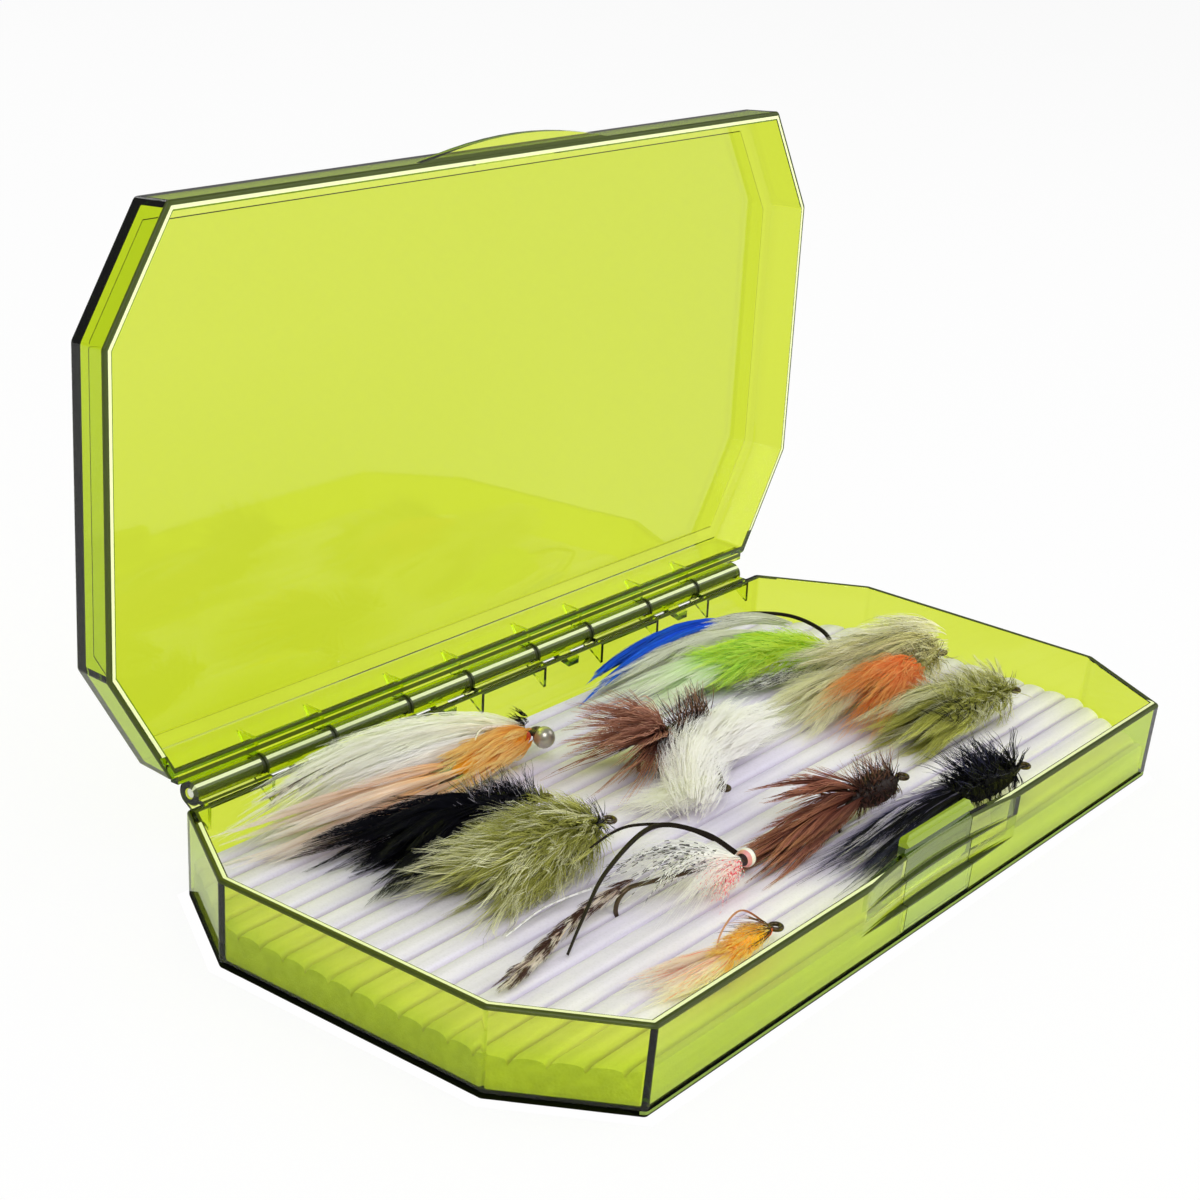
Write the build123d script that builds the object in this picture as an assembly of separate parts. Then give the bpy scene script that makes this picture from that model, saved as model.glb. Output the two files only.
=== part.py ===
"""Slim fly box: a moulded octagonal tray and hinged lid, a steel hinge pin, a snap tongue,
a ridged foam insert and the dressed flies that are stored in it.

Frame: X along the hinge, -Y the front (latch side), +Y the hinge side, Z up.
The origin is the middle of the underside. The lid is drawn shut and then swung open.
"""
from build123d import *
import math
import os

# ---- case: overall sizes, in millimetres -------------------------------------------------
case_length = 200.0          # along X, at the parting line
case_width = 98.0            # along Y, at the parting line
corner_cut_x = 13.6          # how much of each long side a corner facet takes
corner_cut_y = 21.5          # how much of each short side a corner facet takes
tray_height = 16.3           # underside to the tray's rim
lid_depth = 8.5              # rim to the lid's flat top
wall = 1.8                   # moulded wall thickness
floor_thickness = 1.2
draft_inset = 0.6            # how far the walls lean in between the rim and the flat face
edge_round = 0.7             # radius on the outer edges of the flat faces
upright_round = 1.0          # radius on the outer upright corners
rim_outer_round = 0.6        # radius along the outer edges of the tray's rim and the lid's
rim_inner_round = 0.25       # the same along the inner edges
parting_gap = 0.1            # daylight between tray rim and lid rim when shut
panel_inset = 4.9            # raised field on the outside of the lid
panel_rise = 0.35
panel_bevel = 0.2
lid_top_thickness = 1.5
lid_corner_fill = 0.3        # sloped fill inside the lid between its walls and its top

# ---- hinge -------------------------------------------------------------------------------
hinge_y = 52.66
hinge_z = 16.6
open_angle = 91.6            # from shut to resting on the stops
barrel_radius = 2.3
pin_radius = 1.0
pin_clearance = 0.05         # radial, in every knuckle but the two end ones
end_knuckle_length = 16.4    # the two outermost, on the tray
tray_knuckle_length = 20.4
lid_knuckle_length = 17.7
barrel_half_length = end_knuckle_length + 1.5 * tray_knuckle_length + 2 * lid_knuckle_length
knuckle_gap = 0.3            # daylight between neighbouring knuckles
web_thickness = 1.1          # plate that ties a knuckle to its wall
web_offset = 0.4             # from the barrel's middle to the web's near face
gusset_thickness = 0.8
gusset_drop = 5.8            # from the barrel's middle down (or up) the wall
gusset_shoulder = 0.5        # from the barrel's middle to the gusset's near edge
gusset_tangent = 0.7         # where a gusset leaves the barrel, as a share of its radius
ledge_half_length = 85.0     # ledge outside the lid's back wall, towards the barrel
ledge_reach = 1.1
ledge_height = 1.8
pin_recess = 0.4             # how far the pin stops short of the end knuckles' faces
pin_chamfer = 0.2
stop_gap = 0.03              # between a stop heel and the tray's back wall, lid open
stop_top_z = 14.9            # the heel's flat face, with the lid open
stop_low_z = 13.4
stop_half_width = 1.6
stop_upper_root = (-1.3, -1.0)   # where the heel leaves the barrel, from the hinge axis
stop_lower_root = (0.3, -2.2)

# ---- latch -------------------------------------------------------------------------------
tongue_half_width = 11.4
tongue_slot = 0.25           # slot on each side of the tongue
tongue_top = 19.6
tongue_pivot_z = 2.4
tongue_root_radius = 0.7
tongue_root_clearance = 0.05
tongue_foot_gap = 0.15       # between the strip's lower end and the slot's
tab_thickness = 1.4
tab_setback = 2.3            # tab's outer face, measured in from the front plane
tab_corner_round = 1.5
tab_edge = 0.5               # bevel on the tab's inner top edge
tab_front_edge = 0.3
bead_proud = 0.8
bead_z = 18.0
bead_half_height = 0.55
catch_depth = 1.3            # groove in the lid, measured in from the front plane
catch_half_height = 0.75
catch_side_room = 0.8
scoop_half_width = 27.0
scoop_steps = [(7.3, 1.25), (11.9, 2.0)]     # (height a step starts at, its depth)
scoop_pad_z = 9.0            # underside of the pad behind the scoop
scoop_pad_weld = 0.3         # how far that pad reaches into the wall
lip_half_width = 27.5
lip_reach = 3.0
lip_thickness = 1.6

# ---- foam --------------------------------------------------------------------------------
foam_crest_z = 7.4
foam_valley_z = 6.1
foam_pitch = 4.9
foam_margin = 0.35           # between the foam and the walls
tongue_notch_depth = 0.9
tongue_notch_side = 0.9

# ---- flies -------------------------------------------------------------------------------
wire_radius = 0.4
eye_ring_radius = 1.0
hook_gap = 7.0               # shank to point
point_share = 0.45           # straight run under the shank, as a share of the shank
point_tip_length = 1.6
stem_radius = 0.45
point_radius = 0.05
body_front = 1.0             # bare shank behind the eye
body_neck = 0.9              # radius of a body's front end
body_crest = 0.55            # where a body is thickest, as a share of the shank
body_end_share = 0.55        # radius of its rear end, as a share of the thickest
bead_eye_lift = 0.6          # bead eyes' middle above the shank
bead_bar_radius = 0.5

half_length = case_length / 2
half_width = case_width / 2
draft_slope = draft_inset / tray_height
draft_degrees = math.degrees(math.atan(draft_slope))
lid_draft_degrees = math.degrees(math.atan(draft_inset / lid_depth))
lid_rim_z = tray_height + parting_gap
lid_top_z = lid_rim_z + lid_depth
hinge_axis = Axis((0, hinge_y, hinge_z), (1, 0, 0))


# ---- helpers -----------------------------------------------------------------------------
def octagon(inset, z):
    """The case's outline, moved in by inset, as a face at height z."""
    facet = math.hypot(corner_cut_x, corner_cut_y)
    cut_x = corner_cut_x - inset + inset * (facet - corner_cut_x) / corner_cut_y
    cut_y = corner_cut_y - inset + inset * (facet - corner_cut_y) / corner_cut_x
    x = half_length - inset
    y = half_width - inset
    quarter = [(x - cut_x, y), (x, y - cut_y)]
    corners = [(px, -py) for px, py in quarter]
    corners += [(px, py) for px, py in reversed(quarter)]
    corners += [(-px, py) for px, py in quarter]
    corners += [(-px, -py) for px, py in reversed(quarter)]
    return Pos(0, 0, z) * make_face(Polyline(*corners, close=True).edges())


def block(x0, x1, y0, y1, z0, z1):
    """A box given by its six sides."""
    return Pos((x0 + x1) / 2, (y0 + y1) / 2, (z0 + z1) / 2) * Box(x1 - x0, y1 - y0, z1 - z0)


def side_plane(x):
    """A plane across the hinge at x: its first axis is +Y, its second +Z."""
    return Plane(origin=(x, 0, 0), x_dir=(0, 1, 0), z_dir=(1, 0, 0))


def across(points, x0, x1):
    """A (y, z) outline carried along X from x0 to x1."""
    outline = make_face(Polyline(*points, close=True).edges())
    return extrude(side_plane(x0) * outline, amount=x1 - x0)


def rod(x0, x1, y, z, radius):
    """A round bar along X."""
    return extrude(side_plane(x0) * Pos(y, z) * Circle(radius), amount=x1 - x0)


def lens(half_chord, rise, face_y, z0, z1):
    """The sliver between a flat front at face_y and an arc that swells by rise towards -Y
    (or towards +Y where rise is negative), between two heights."""
    arc = ThreePointArc((-half_chord, face_y), (0, face_y - rise), (half_chord, face_y))
    chord = Line((half_chord, face_y), (-half_chord, face_y))
    return extrude(Pos(0, 0, z0) * make_face([arc, chord]), amount=z1 - z0)


def round_rim(shell, outward):
    """Rounds the outer and the inner edges of the rim face that stands furthest outward."""
    rim = shell.faces().sort_by(outward)[-1]
    shell = fillet(rim.outer_wire().edges(), rim_outer_round)
    rim = shell.faces().sort_by(outward)[-1]
    return fillet(rim.inner_wires()[0].edges(), rim_inner_round)


def wall_y(z):
    """How far out the tray's front or back face stands at height z."""
    return half_width - draft_slope * (tray_height - z)


# ---- hinge -------------------------------------------------------------------------------
def knuckle_spans():
    """(x0, x1, belongs to tray) for the nine knuckles, from -X to +X."""
    spans = []
    x = -barrel_half_length
    for index in range(9):
        on_tray = index % 2 == 0
        length = tray_knuckle_length if on_tray else lid_knuckle_length
        if index in (0, 8):
            length = end_knuckle_length
        spans.append((x + knuckle_gap / 2, x + length - knuckle_gap / 2, on_tray))
        x += length
    return spans


def knuckle(x0, x1, way):
    """A knuckle: barrel, the web to its wall and two gussets. Way -1 is the tray's, whose web
    and gussets lie below the hinge axis; way 1 is the lid's, drawn shut, with them above."""
    near = hinge_z + way * web_offset
    far = near + way * web_thickness
    inside = half_width - wall / 2
    solid = rod(x0, x1, hinge_y, hinge_z, barrel_radius)
    solid += across([(inside, near), (hinge_y, near), (hinge_y, far), (inside, far)], x0, x1)
    for side in (x0, x1 - gusset_thickness):
        solid += gusset(side, inside, way)
    return solid


def gusset(x, inside, way):
    """A thin brace between a knuckle and its wall, below the barrel (way -1) or above it (1)."""
    shoulder = hinge_z + way * gusset_shoulder
    tangent = barrel_radius * gusset_tangent
    return across([(inside, shoulder), (hinge_y, shoulder),
                   (hinge_y + tangent, hinge_z + way * tangent),
                   (inside, hinge_z + way * gusset_drop)], x, x + gusset_thickness)


def stop_heel(x):
    """A heel under a lid knuckle, drawn with the lid open: its flat face is then against the
    tray's back wall, and it swings down and away as the lid shuts."""
    face_y = wall_y(stop_top_z) + stop_gap
    upper_y, upper_z = stop_upper_root
    lower_y, lower_z = stop_lower_root
    return across([(hinge_y + upper_y, hinge_z + upper_z), (face_y, stop_top_z),
                   (face_y, stop_low_z), (hinge_y + lower_y, hinge_z + lower_z)],
                  x - stop_half_width, x + stop_half_width)


def pin_bore(x0, x1, radius):
    return rod(x0 - 1, x1 + 1, hinge_y, hinge_z, radius)


def make_hinge_pin():
    end = barrel_half_length - pin_recess
    pin = rod(-end, end, hinge_y, hinge_z, pin_radius)
    return chamfer(pin.edges().filter_by(GeomType.CIRCLE), pin_chamfer)


# ---- tray and tongue ---------------------------------------------------------------------
def tray_body():
    """The moulded tray with its thumb scoop, before the tongue is slotted out of it."""
    shell = extrude(octagon(draft_inset, 0), amount=tray_height, taper=-draft_degrees)
    uprights = [e for e in shell.edges() if abs(e.tangent_at(0.5).Z) > 0.5]
    shell = fillet(uprights, upright_round)
    shell = fillet(shell.faces().sort_by(Axis.Z)[0].edges(), edge_round)
    foot_inset = wall + draft_inset - draft_slope * floor_thickness
    hollow = extrude(octagon(foot_inset, floor_thickness), amount=tray_height,
                     taper=-draft_degrees)
    shell -= hollow
    lean = Axis((0, -half_width, tray_height), (1, 0, 0))
    pad = lens(scoop_half_width, -scoop_steps[-1][1], -half_width + wall - scoop_pad_weld,
               scoop_pad_z, tray_height)
    shell += pad.rotate(lean, draft_degrees) & block(-50, 50, -half_width, 0, 0, tray_height)
    for start_z, depth in scoop_steps:
        step = lens(scoop_half_width, -depth, -half_width - 0.02, start_z, tray_height + 1)
        shell -= step.rotate(lean, draft_degrees)
    return round_rim(shell, Axis.Z)


def tongue_slot_room():
    """What is cut from the tray so that the tongue can stand and flex in its front wall."""
    reach = tongue_half_width + tongue_slot
    pivot_y = -wall_y(tongue_pivot_z) + wall / 2
    room = block(-reach, reach, -half_width - 5, -half_width + 4, tongue_pivot_z, tray_height + 5)
    return room + rod(-reach, reach, pivot_y, tongue_pivot_z,
                      tongue_root_radius + tongue_root_clearance)


def make_base_tray(body):
    tray = body - tongue_slot_room()
    for x0, x1, on_tray in knuckle_spans():
        if on_tray:
            tray += knuckle(x0, x1, -1)
    for x0, x1, on_tray in knuckle_spans():
        end_knuckle = abs(x0 + x1) / 2 > barrel_half_length - end_knuckle_length
        fit = pin_radius if end_knuckle else pin_radius + pin_clearance
        tray -= pin_bore(x0, x1, fit)
    return tray


def make_latch_tongue(body):
    """Spring tongue: the slotted-out strip of the front wall, its tab and the snap bead."""
    reach = tongue_half_width
    strip_foot = tongue_pivot_z + tongue_foot_gap
    strip = body & block(-reach, reach, -half_width - 5, -half_width + 4, strip_foot, tray_height)
    pivot_y = -wall_y(tongue_pivot_z) + wall / 2
    root = rod(-reach, reach, pivot_y, tongue_pivot_z, tongue_root_radius)
    outer = -half_width + tab_setback
    inner = outer + tab_thickness
    back = -half_width + wall + 0.1
    tab = across([(outer, tray_height - 3.2), (outer, bead_z - bead_half_height),
                  (outer - bead_proud, bead_z), (outer, bead_z + bead_half_height),
                  (outer, tongue_top - tab_front_edge), (outer + tab_front_edge, tongue_top),
                  (inner - tab_edge, tongue_top), (inner, tongue_top - tab_edge),
                  (inner, tray_height - 2.4), (back, tray_height - 5.5),
                  (back, tray_height - 6)], -reach, reach)
    face = Pos(0, tongue_top / 2) * RectangleRounded(2 * reach, tongue_top, tab_corner_round)
    tab = tab & extrude(Plane.XZ * face, amount=2 * half_width)
    return strip + root + tab


# ---- lid ---------------------------------------------------------------------------------
def make_lid_shell():
    """The lid, drawn shut and swung open about the hinge."""
    shell = extrude(octagon(0, lid_rim_z), amount=lid_depth, taper=lid_draft_degrees)
    uprights = [e for e in shell.edges() if abs(e.tangent_at(0.5).Z) > 0.5]
    shell = fillet(uprights, upright_round)
    shell = fillet(shell.faces().sort_by(Axis.Z)[-1].edges(), edge_round)
    hollow = extrude(octagon(wall, lid_rim_z), amount=lid_depth - lid_top_thickness,
                     taper=lid_draft_degrees)
    hollow = chamfer(hollow.faces().sort_by(Axis.Z)[-1].edges(), lid_corner_fill)
    shell -= hollow
    shell = round_rim(shell, -Axis.Z)
    shell += block(-ledge_half_length, ledge_half_length, half_width - wall / 2,
                   half_width + ledge_reach, lid_rim_z, lid_rim_z + ledge_height)
    panel = extrude(octagon(panel_inset, lid_top_z - 0.1), amount=panel_rise + 0.1)
    shell += chamfer(panel.faces().sort_by(Axis.Z)[-1].edges(), panel_bevel)
    lip_top = lid_rim_z + lip_thickness
    shell += lens(lip_half_width, lip_reach, -half_width + 0.2, lid_rim_z, lip_top)
    reach = tongue_half_width + catch_side_room
    shell -= block(-reach, reach, -half_width + catch_depth, -half_width + wall + 1,
                   bead_z - catch_half_height, bead_z + catch_half_height)
    for x0, x1, on_tray in knuckle_spans():
        if not on_tray:
            shell += knuckle(x0, x1, 1)
            shell -= pin_bore(x0, x1, pin_radius + pin_clearance)
    lid = shell.rotate(hinge_axis, -open_angle)
    for x0, x1, on_tray in knuckle_spans():
        if not on_tray:
            lid += stop_heel((x0 + x1) / 2)
    return lid


# ---- foam --------------------------------------------------------------------------------
def make_foam_insert():
    """Glued foam pad whose rounded ridges run along the box, with slits between them."""
    ridges = math.ceil(case_width / foam_pitch)
    y = -ridges * foam_pitch / 2
    arcs = []
    start_y = y
    for _ in range(ridges):
        arcs.append(ThreePointArc((y, foam_valley_z), (y + foam_pitch / 2, foam_crest_z),
                                  (y + foam_pitch, foam_valley_z)))
        y += foam_pitch
    arcs.append(Polyline((y, foam_valley_z), (y, floor_thickness), (start_y, floor_thickness),
                         (start_y, foam_valley_z)))
    section = make_face([e for arc in arcs for e in arc.edges()])
    bar = extrude(side_plane(-half_length) * section, amount=case_length)
    inset = wall + draft_inset - draft_slope * floor_thickness + foam_margin
    pad = bar & extrude(octagon(inset, floor_thickness), amount=tray_height)
    reach = tongue_half_width + tongue_notch_side
    front = -half_width + inset
    return pad - block(-reach, reach, front - 5, front + tongue_notch_depth, 0, tray_height)


# ---- flies -------------------------------------------------------------------------------
def fly_plane(head, root):
    """The upright plane of a fly: origin at the hook's eye, first axis back along the shank."""
    back_x = root[0] - head[0]
    back_y = root[1] - head[1]
    length = math.hypot(back_x, back_y)
    back = (back_x / length, back_y / length)
    plane = Plane(origin=head, x_dir=(back[0], back[1], 0), z_dir=(back[1], -back[0], 0))
    return plane, length


def make_hook(head, root):
    """A hook: eye ring, level shank, round bend and a point that runs forward in the foam."""
    plane, length = fly_plane(head, root)
    bend = hook_gap / 2
    run = length * point_share
    shank = Line((0, 0), (length, 0))
    turn = ThreePointArc((length, 0), (length + bend, -bend), (length, -hook_gap))
    under = Line((length, -hook_gap), (length - run, -hook_gap))
    path = plane * (shank + turn + under)
    start = Plane(origin=head, z_dir=plane.x_dir)
    wire = sweep(start * Circle(wire_radius), path=path.wire())
    tip_plane = Plane(origin=plane.from_local_coords(Vector(length - run, -hook_gap, 0)),
                      z_dir=-plane.x_dir)
    tip = tip_plane * Pos(0, 0, point_tip_length / 2) * Cone(wire_radius, point_radius,
                                                            point_tip_length)
    ring_at = plane.from_local_coords(Vector(-eye_ring_radius, 0, 0))
    ring = Plane(origin=ring_at, x_dir=plane.x_dir, z_dir=(0, 0, 1)) * Torus(eye_ring_radius,
                                                                            wire_radius)
    return wire + tip + ring


def make_body(head, root, radius):
    """A wound body: a spindle round the shank, thickest behind its middle."""
    plane, length = fly_plane(head, root)
    start = (body_front, body_neck)
    end = (length, radius * body_end_share)
    arc = ThreePointArc(start, (length * body_crest, radius), end)
    outline = arc.edges() + Polyline(end, (length, 0), (body_front, 0), start).edges()
    return revolve(plane * make_face(outline), axis=Axis(head, plane.x_dir))


def make_plume(points, width, height, swell=0.42, tip_share=0.12):
    """A soft plume of fibres along a line of points: oval sections that swell, then taper."""
    spine = Line(*points) if len(points) == 2 else Spline(*points)
    shares = [(0.0, 0.4), (swell * 0.5, 0.85), (swell, 1.0), ((1 + swell) / 2, 0.72),
              (1.0, tip_share)]
    sections = []
    for along, share in shares:
        heading = spine % along
        level = Vector(-heading.Y, heading.X, 0).normalized()
        place = Plane(origin=spine @ along, x_dir=level, z_dir=heading)
        sections.append(place * Ellipse(width / 2 * share, height / 2 * share))
    return loft(sections)


def make_stem(points):
    """A thin stiff quill through three points, as one arc."""
    path = ThreePointArc(*points)
    start = Plane(origin=path @ 0, z_dir=path % 0)
    return sweep(start * Circle(stem_radius), path=path)


def make_bead_pair(head, root, back, side, radius):
    """Two bead eyes either side of the shank, joined by a short bar."""
    plane, _ = fly_plane(head, root)
    parts = None
    for sign in (-1, 1):
        centre = plane.from_local_coords(Vector(back, bead_eye_lift, sign * side))
        ball = Pos(*centre) * Sphere(radius)
        parts = ball if parts is None else parts + ball
    bar_plane = Plane(origin=plane.from_local_coords(Vector(back, bead_eye_lift, 0)),
                      z_dir=plane.z_dir)
    return parts + bar_plane * Cylinder(bead_bar_radius, 2 * side)


nodes = {}


def add_fly(name, eye, root, body_radius, plumes):
    """One dressed fly: its hook, its wound body and each plume of hair or feather."""
    nodes[name + "_hook"] = make_hook(eye, root)
    nodes[name + "_body"] = make_body(eye, root, body_radius)
    for label, points, width, height in plumes:
        nodes[name + "_" + label] = make_plume(points, width, height)


def add_flies():
    """The stored flies, row by row from the latch side to the hinge side."""
    add_fly("scud_fly", (-41, -39.8, 11), (-54, -39.5, 11), 2.8,
            [("tail", [(-54, -39.5, 10.8), (-70, -35, 9.2)], 5.5, 2.4)])
    add_fly("black_bugger", (46, -39.5, 12), (24, -36.5, 12), 4.0,
            [("tail", [(25, -36.6, 12), (-11, -35.5, 9.8)], 9.6, 5)])
    add_fly("brown_bugger", (24, -25.5, 12), (9, -24.5, 12), 3.8,
            [("tail", [(10, -24.6, 12), (-21, -21, 9.8)], 9.6, 5)])
    add_fly("grizzly_fly", (-25, -22.5, 11.5), (-46, -15.5, 11.5), 3.4,
            [("tail", [(-45, -15.8, 11), (-85, -18, 8.9)], 6.5, 2.2)])
    add_fly("olive_streamer", (79, -20, 12), (59, -15.5, 12), 4.0,
            [("tail", [(60, -15.7, 12), (37, -11.5, 9.8)], 8.5, 5)])
    add_fly("white_fly", (-3, -4, 11.8), (6, 4, 11.8), 4.0,
            [("tail", [(6, 4, 11.5), (32, 7.5, 9.8)], 8, 4.4)])
    add_fly("tan_streamer", (86, 1, 12), (61, 0.5, 12), 3.6,
            [("tail", [(62, 0.5, 12), (37, 0, 9.8)], 9, 4.6),
             ("wing", [(84, 2.5, 15.5), (67, 4.5, 15.6), (51, 6.5, 13.5)], 8, 3.6)])
    add_fly("olive_bugger", (-31, 2, 12), (-50, 4.5, 12), 4.0,
            [("tail", [(-45, 4, 12), (-75, 7, 9.8)], 15, 5.6)])
    add_fly("rust_fly", (21, 15.5, 12), (2, 16, 12), 3.2,
            [("tail", [(3, 16, 12), (-18, 22.5, 9.8)], 11, 5.4)])
    add_fly("black_marabou", (-32, 15.5, 12), (-50, 22, 12), 3.2,
            [("tail", [(-47, 21, 12), (-79, 29.5, 9.8)], 10.5, 5.4)])
    add_fly("baitfish", (70, 17.5, 12), (46, 27, 12), 3.5,
            [("flank", [(50, 25.5, 12), (17, 32, 9.8)], 9, 4.8),
             ("wing", [(69.2, 17.9, 12.6), (66, 31, 16), (54, 39.5, 15.5), (33, 42, 13),
                       (13, 40.5, 11)], 4.2, 2.6)])
    add_fly("orange_streamer", (-11, 34, 12.4), (-40, 31.5, 12.4), 3.6,
            [("tail", [(-39, 31.6, 12), (-83, 40.5, 9.6)], 7.6, 4),
             ("wing", [(-14, 34.3, 13.6), (-45, 40, 16.8), (-79, 42, 13)], 7.5, 4)])
    nodes["orange_streamer_eyes"] = make_bead_pair((-11, 34, 12.4), (-40, 31.5, 12.4),
                                                   2.0, 3.4, 2.1)
    nodes["grizzly_fly_bead"] = Pos(-23.6, -23, 11.5) * Sphere(1.7)
    nodes["grizzly_fly_stem"] = make_stem([(-27, -21.6, 13.2), (-36, -10.4, 18), (-67, -18, 8.4)])


body = tray_body()
nodes["base_tray"] = make_base_tray(body)
nodes["latch_tongue"] = make_latch_tongue(body)
nodes["lid_shell"] = make_lid_shell()
nodes["hinge_pin"] = make_hinge_pin()
nodes["foam_insert"] = make_foam_insert()
add_flies()

os.makedirs("parts", exist_ok=True)
for name, shape in nodes.items():
    export_step(shape, f"parts/{name}.step")
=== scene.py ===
"""Looks of a slim fly box: clear tinted shells, a ridged foam pad and twelve dressed flies."""
import functools
import math

import bmesh
import bpy
from mathutils import Euler, Matrix, Vector


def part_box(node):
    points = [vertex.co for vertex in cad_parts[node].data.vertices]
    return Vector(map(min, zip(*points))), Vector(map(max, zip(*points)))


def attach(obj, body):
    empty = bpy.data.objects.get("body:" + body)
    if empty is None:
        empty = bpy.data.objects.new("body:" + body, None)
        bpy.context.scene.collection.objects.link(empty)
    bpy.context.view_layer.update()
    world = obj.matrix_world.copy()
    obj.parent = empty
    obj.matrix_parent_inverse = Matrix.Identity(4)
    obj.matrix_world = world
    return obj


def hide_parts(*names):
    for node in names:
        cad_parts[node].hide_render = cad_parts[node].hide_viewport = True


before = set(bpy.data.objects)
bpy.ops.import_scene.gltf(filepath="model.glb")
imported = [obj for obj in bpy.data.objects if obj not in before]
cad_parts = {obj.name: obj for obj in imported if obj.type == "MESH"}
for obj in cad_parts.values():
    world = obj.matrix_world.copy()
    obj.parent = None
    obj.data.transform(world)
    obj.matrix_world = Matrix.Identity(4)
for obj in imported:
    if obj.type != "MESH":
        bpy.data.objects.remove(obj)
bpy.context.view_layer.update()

MM = 0.001


# ---- node trees and meshes ---------------------------------------------------------------
class Graph:
    """Adds nodes to a tree, so that a tree reads as the sums it does."""

    def __init__(self, tree):
        self.tree = tree

    def feed(self, socket, value):
        """Links another node's output to a socket, or sets the socket's own value."""
        if isinstance(value, bpy.types.NodeSocket):
            self.tree.links.new(value, socket)
        else:
            socket.default_value = value

    def add(self, kind, inputs=None, **settings):
        """A new node, with inputs by name or number and settings by name."""
        node = self.tree.nodes.new(kind)
        for name, value in settings.items():
            setattr(node, name, value)
        for key, value in (inputs or {}).items():
            if isinstance(key, int):
                socket = node.inputs[key]
            else:
                socket = next(s for s in node.inputs if s.name == key and s.enabled)
            self.feed(socket, value)
        return node

    def math(self, operation, *values):
        inputs = dict(enumerate(values))
        return self.add("ShaderNodeMath", inputs, operation=operation).outputs[0]

    def vector(self, operation, *values):
        inputs = dict(enumerate(values))
        return self.add("ShaderNodeVectorMath", inputs, operation=operation).outputs[0]

    def scaled(self, vector, factor):
        node = self.add("ShaderNodeVectorMath", {"Vector": vector, "Scale": factor},
                        operation="SCALE")
        return node.outputs[0]

    def blend(self, share, low, high):
        """A number between two others."""
        node = self.add("ShaderNodeMix", {"Factor": share, "A": low, "B": high},
                        clamp_factor=False)
        return node.outputs[0]

    def colours(self, share, low, high, way="MIX"):
        """A colour between two others, or the two put together another way."""
        node = self.add("ShaderNodeMix", data_type="RGBA", blend_type=way)
        self.feed(node.inputs[0], share)
        self.feed(node.inputs[6], low)
        self.feed(node.inputs[7], high)
        return node.outputs[2]

    def noise(self, vector, scale, detail=2.0):
        return self.add("ShaderNodeTexNoise", {"Vector": vector, "Scale": scale,
                                               "Detail": detail})

    def fold(self, operation, values):
        return functools.reduce(lambda a, b: self.math(operation, a, b), values)

    def plus(self, *values):
        return self.fold("ADD", values)

    def minus(self, value, less):
        return self.math("SUBTRACT", value, less)

    def times(self, *values):
        return self.fold("MULTIPLY", values)

    def least(self, *values):
        return self.fold("MINIMUM", values)

    def most(self, *values):
        return self.fold("MAXIMUM", values)

    both, either = times, most        # the same sums on masks, which are 0 or 1

    def within(self, value, low, high):
        """A mask of the places where the value is between the two limits."""
        return self.math("COMPARE", value, (low + high) / 2, (high - low) / 2)

    def place(self):
        """Where on its piece a point is."""
        return self.add("ShaderNodeTexCoord").outputs["Object"]

    def axes(self, point):
        return self.add("ShaderNodeSeparateXYZ", {0: point}).outputs

    def remap(self, value, low, high, new_low=0.0, new_high=1.0):
        node = self.add("ShaderNodeMapRange", {"Value": value, "From Min": low, "From Max": high,
                                               "To Min": new_low, "To Max": new_high})
        return node.outputs[0]


def add_object(name, data):
    piece = bpy.data.objects.new(name, data)
    bpy.context.scene.collection.objects.link(piece)
    return piece


def settle(piece, body, nodes=()):
    """The piece rides on a body and stands for its CAD nodes, which it hides."""
    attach(piece, body)
    if nodes:
        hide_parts(*nodes)
    return piece


def new_material(name, **sockets):
    """A Principled material, its even values set on the shader's own sockets."""
    material = bpy.data.materials.new(name)
    material.use_nodes = True
    graph = Graph(material.node_tree)
    shader = material.node_tree.nodes["Principled BSDF"]
    for label, value in sockets.items():
        shader.inputs[label.replace("_", " ")].default_value = value
    return material, graph, shader


def rgb(red, green, blue):
    return (red, green, blue, 1.0)


# ---- materials of the case ---------------------------------------------------------------
# The case's own measures, and where its finish and painted light and shade change. A depth is
# measured inwards from the octagon's sides; a clearness is the share of light that goes through.
HALF_LENGTH = 100 * MM
HALF_WIDTH = 49 * MM
CORNER_X = 13.6 * MM
CORNER_Y = 21.5 * MM
SIDE_Y = 44 * MM               # the walls and rims of the long sides are past this
SKIN = 0.02 * MM               # a mark's reach above and below the surface it is on
TRAY_RIM = 16.3 * MM
LID_RIM_DROP = 0.2 * MM        # of the shut lid's rim, below the hinge axis
RIM_ROUND = 0.62 * MM
OUTSIDE = -0.5 * MM            # a depth outside every side
STRIP_FROM = 0.86 * MM         # the rims' satin strip with a painted highlight, between edges of painted shade
STRIP_TO = 1.50 * MM
HINGE_SHADE_EDGES = ((OUTSIDE, 0.36 * MM), (1.2 * MM, 1.8 * MM))     # painted shade, on the hinge's side
SCOOP_HALF = 27 * MM
SCOOP_DEPTH = (0.35 * MM, 2.6 * MM)
SCOOP_LINES = (7.2 * MM, 11.8 * MM)
SCOOP_LINE_HALF = 0.33 * MM
SCOOP_RIM = 0.5 * MM
FOOT_Y = 47.5 * MM             # the front wall's foot is past this
# the height of the band of painted light at the front wall's foot
FOOT_LINE = (0.7 * MM, 1.3 * MM)
HINGE_Y = 52.66 * MM
HINGE_Z = 16.6 * MM
OPEN_ANGLE = math.radians(91.6)
BARREL_RADIUS = 2.4 * MM
KNUCKLE_ENDS = [edge * MM for edge in (10.2, 27.9, 48.3, 66.0)]
KNUCKLE_RING = 0.7 * MM        # half the width of the dark ring at each end
DEEP_ALONG = (30 * MM, -60 * MM)       # from where to where the lid's tint deepens, as painted shade
DEEP_BACK = (-75 * MM, -10 * MM)
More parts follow.
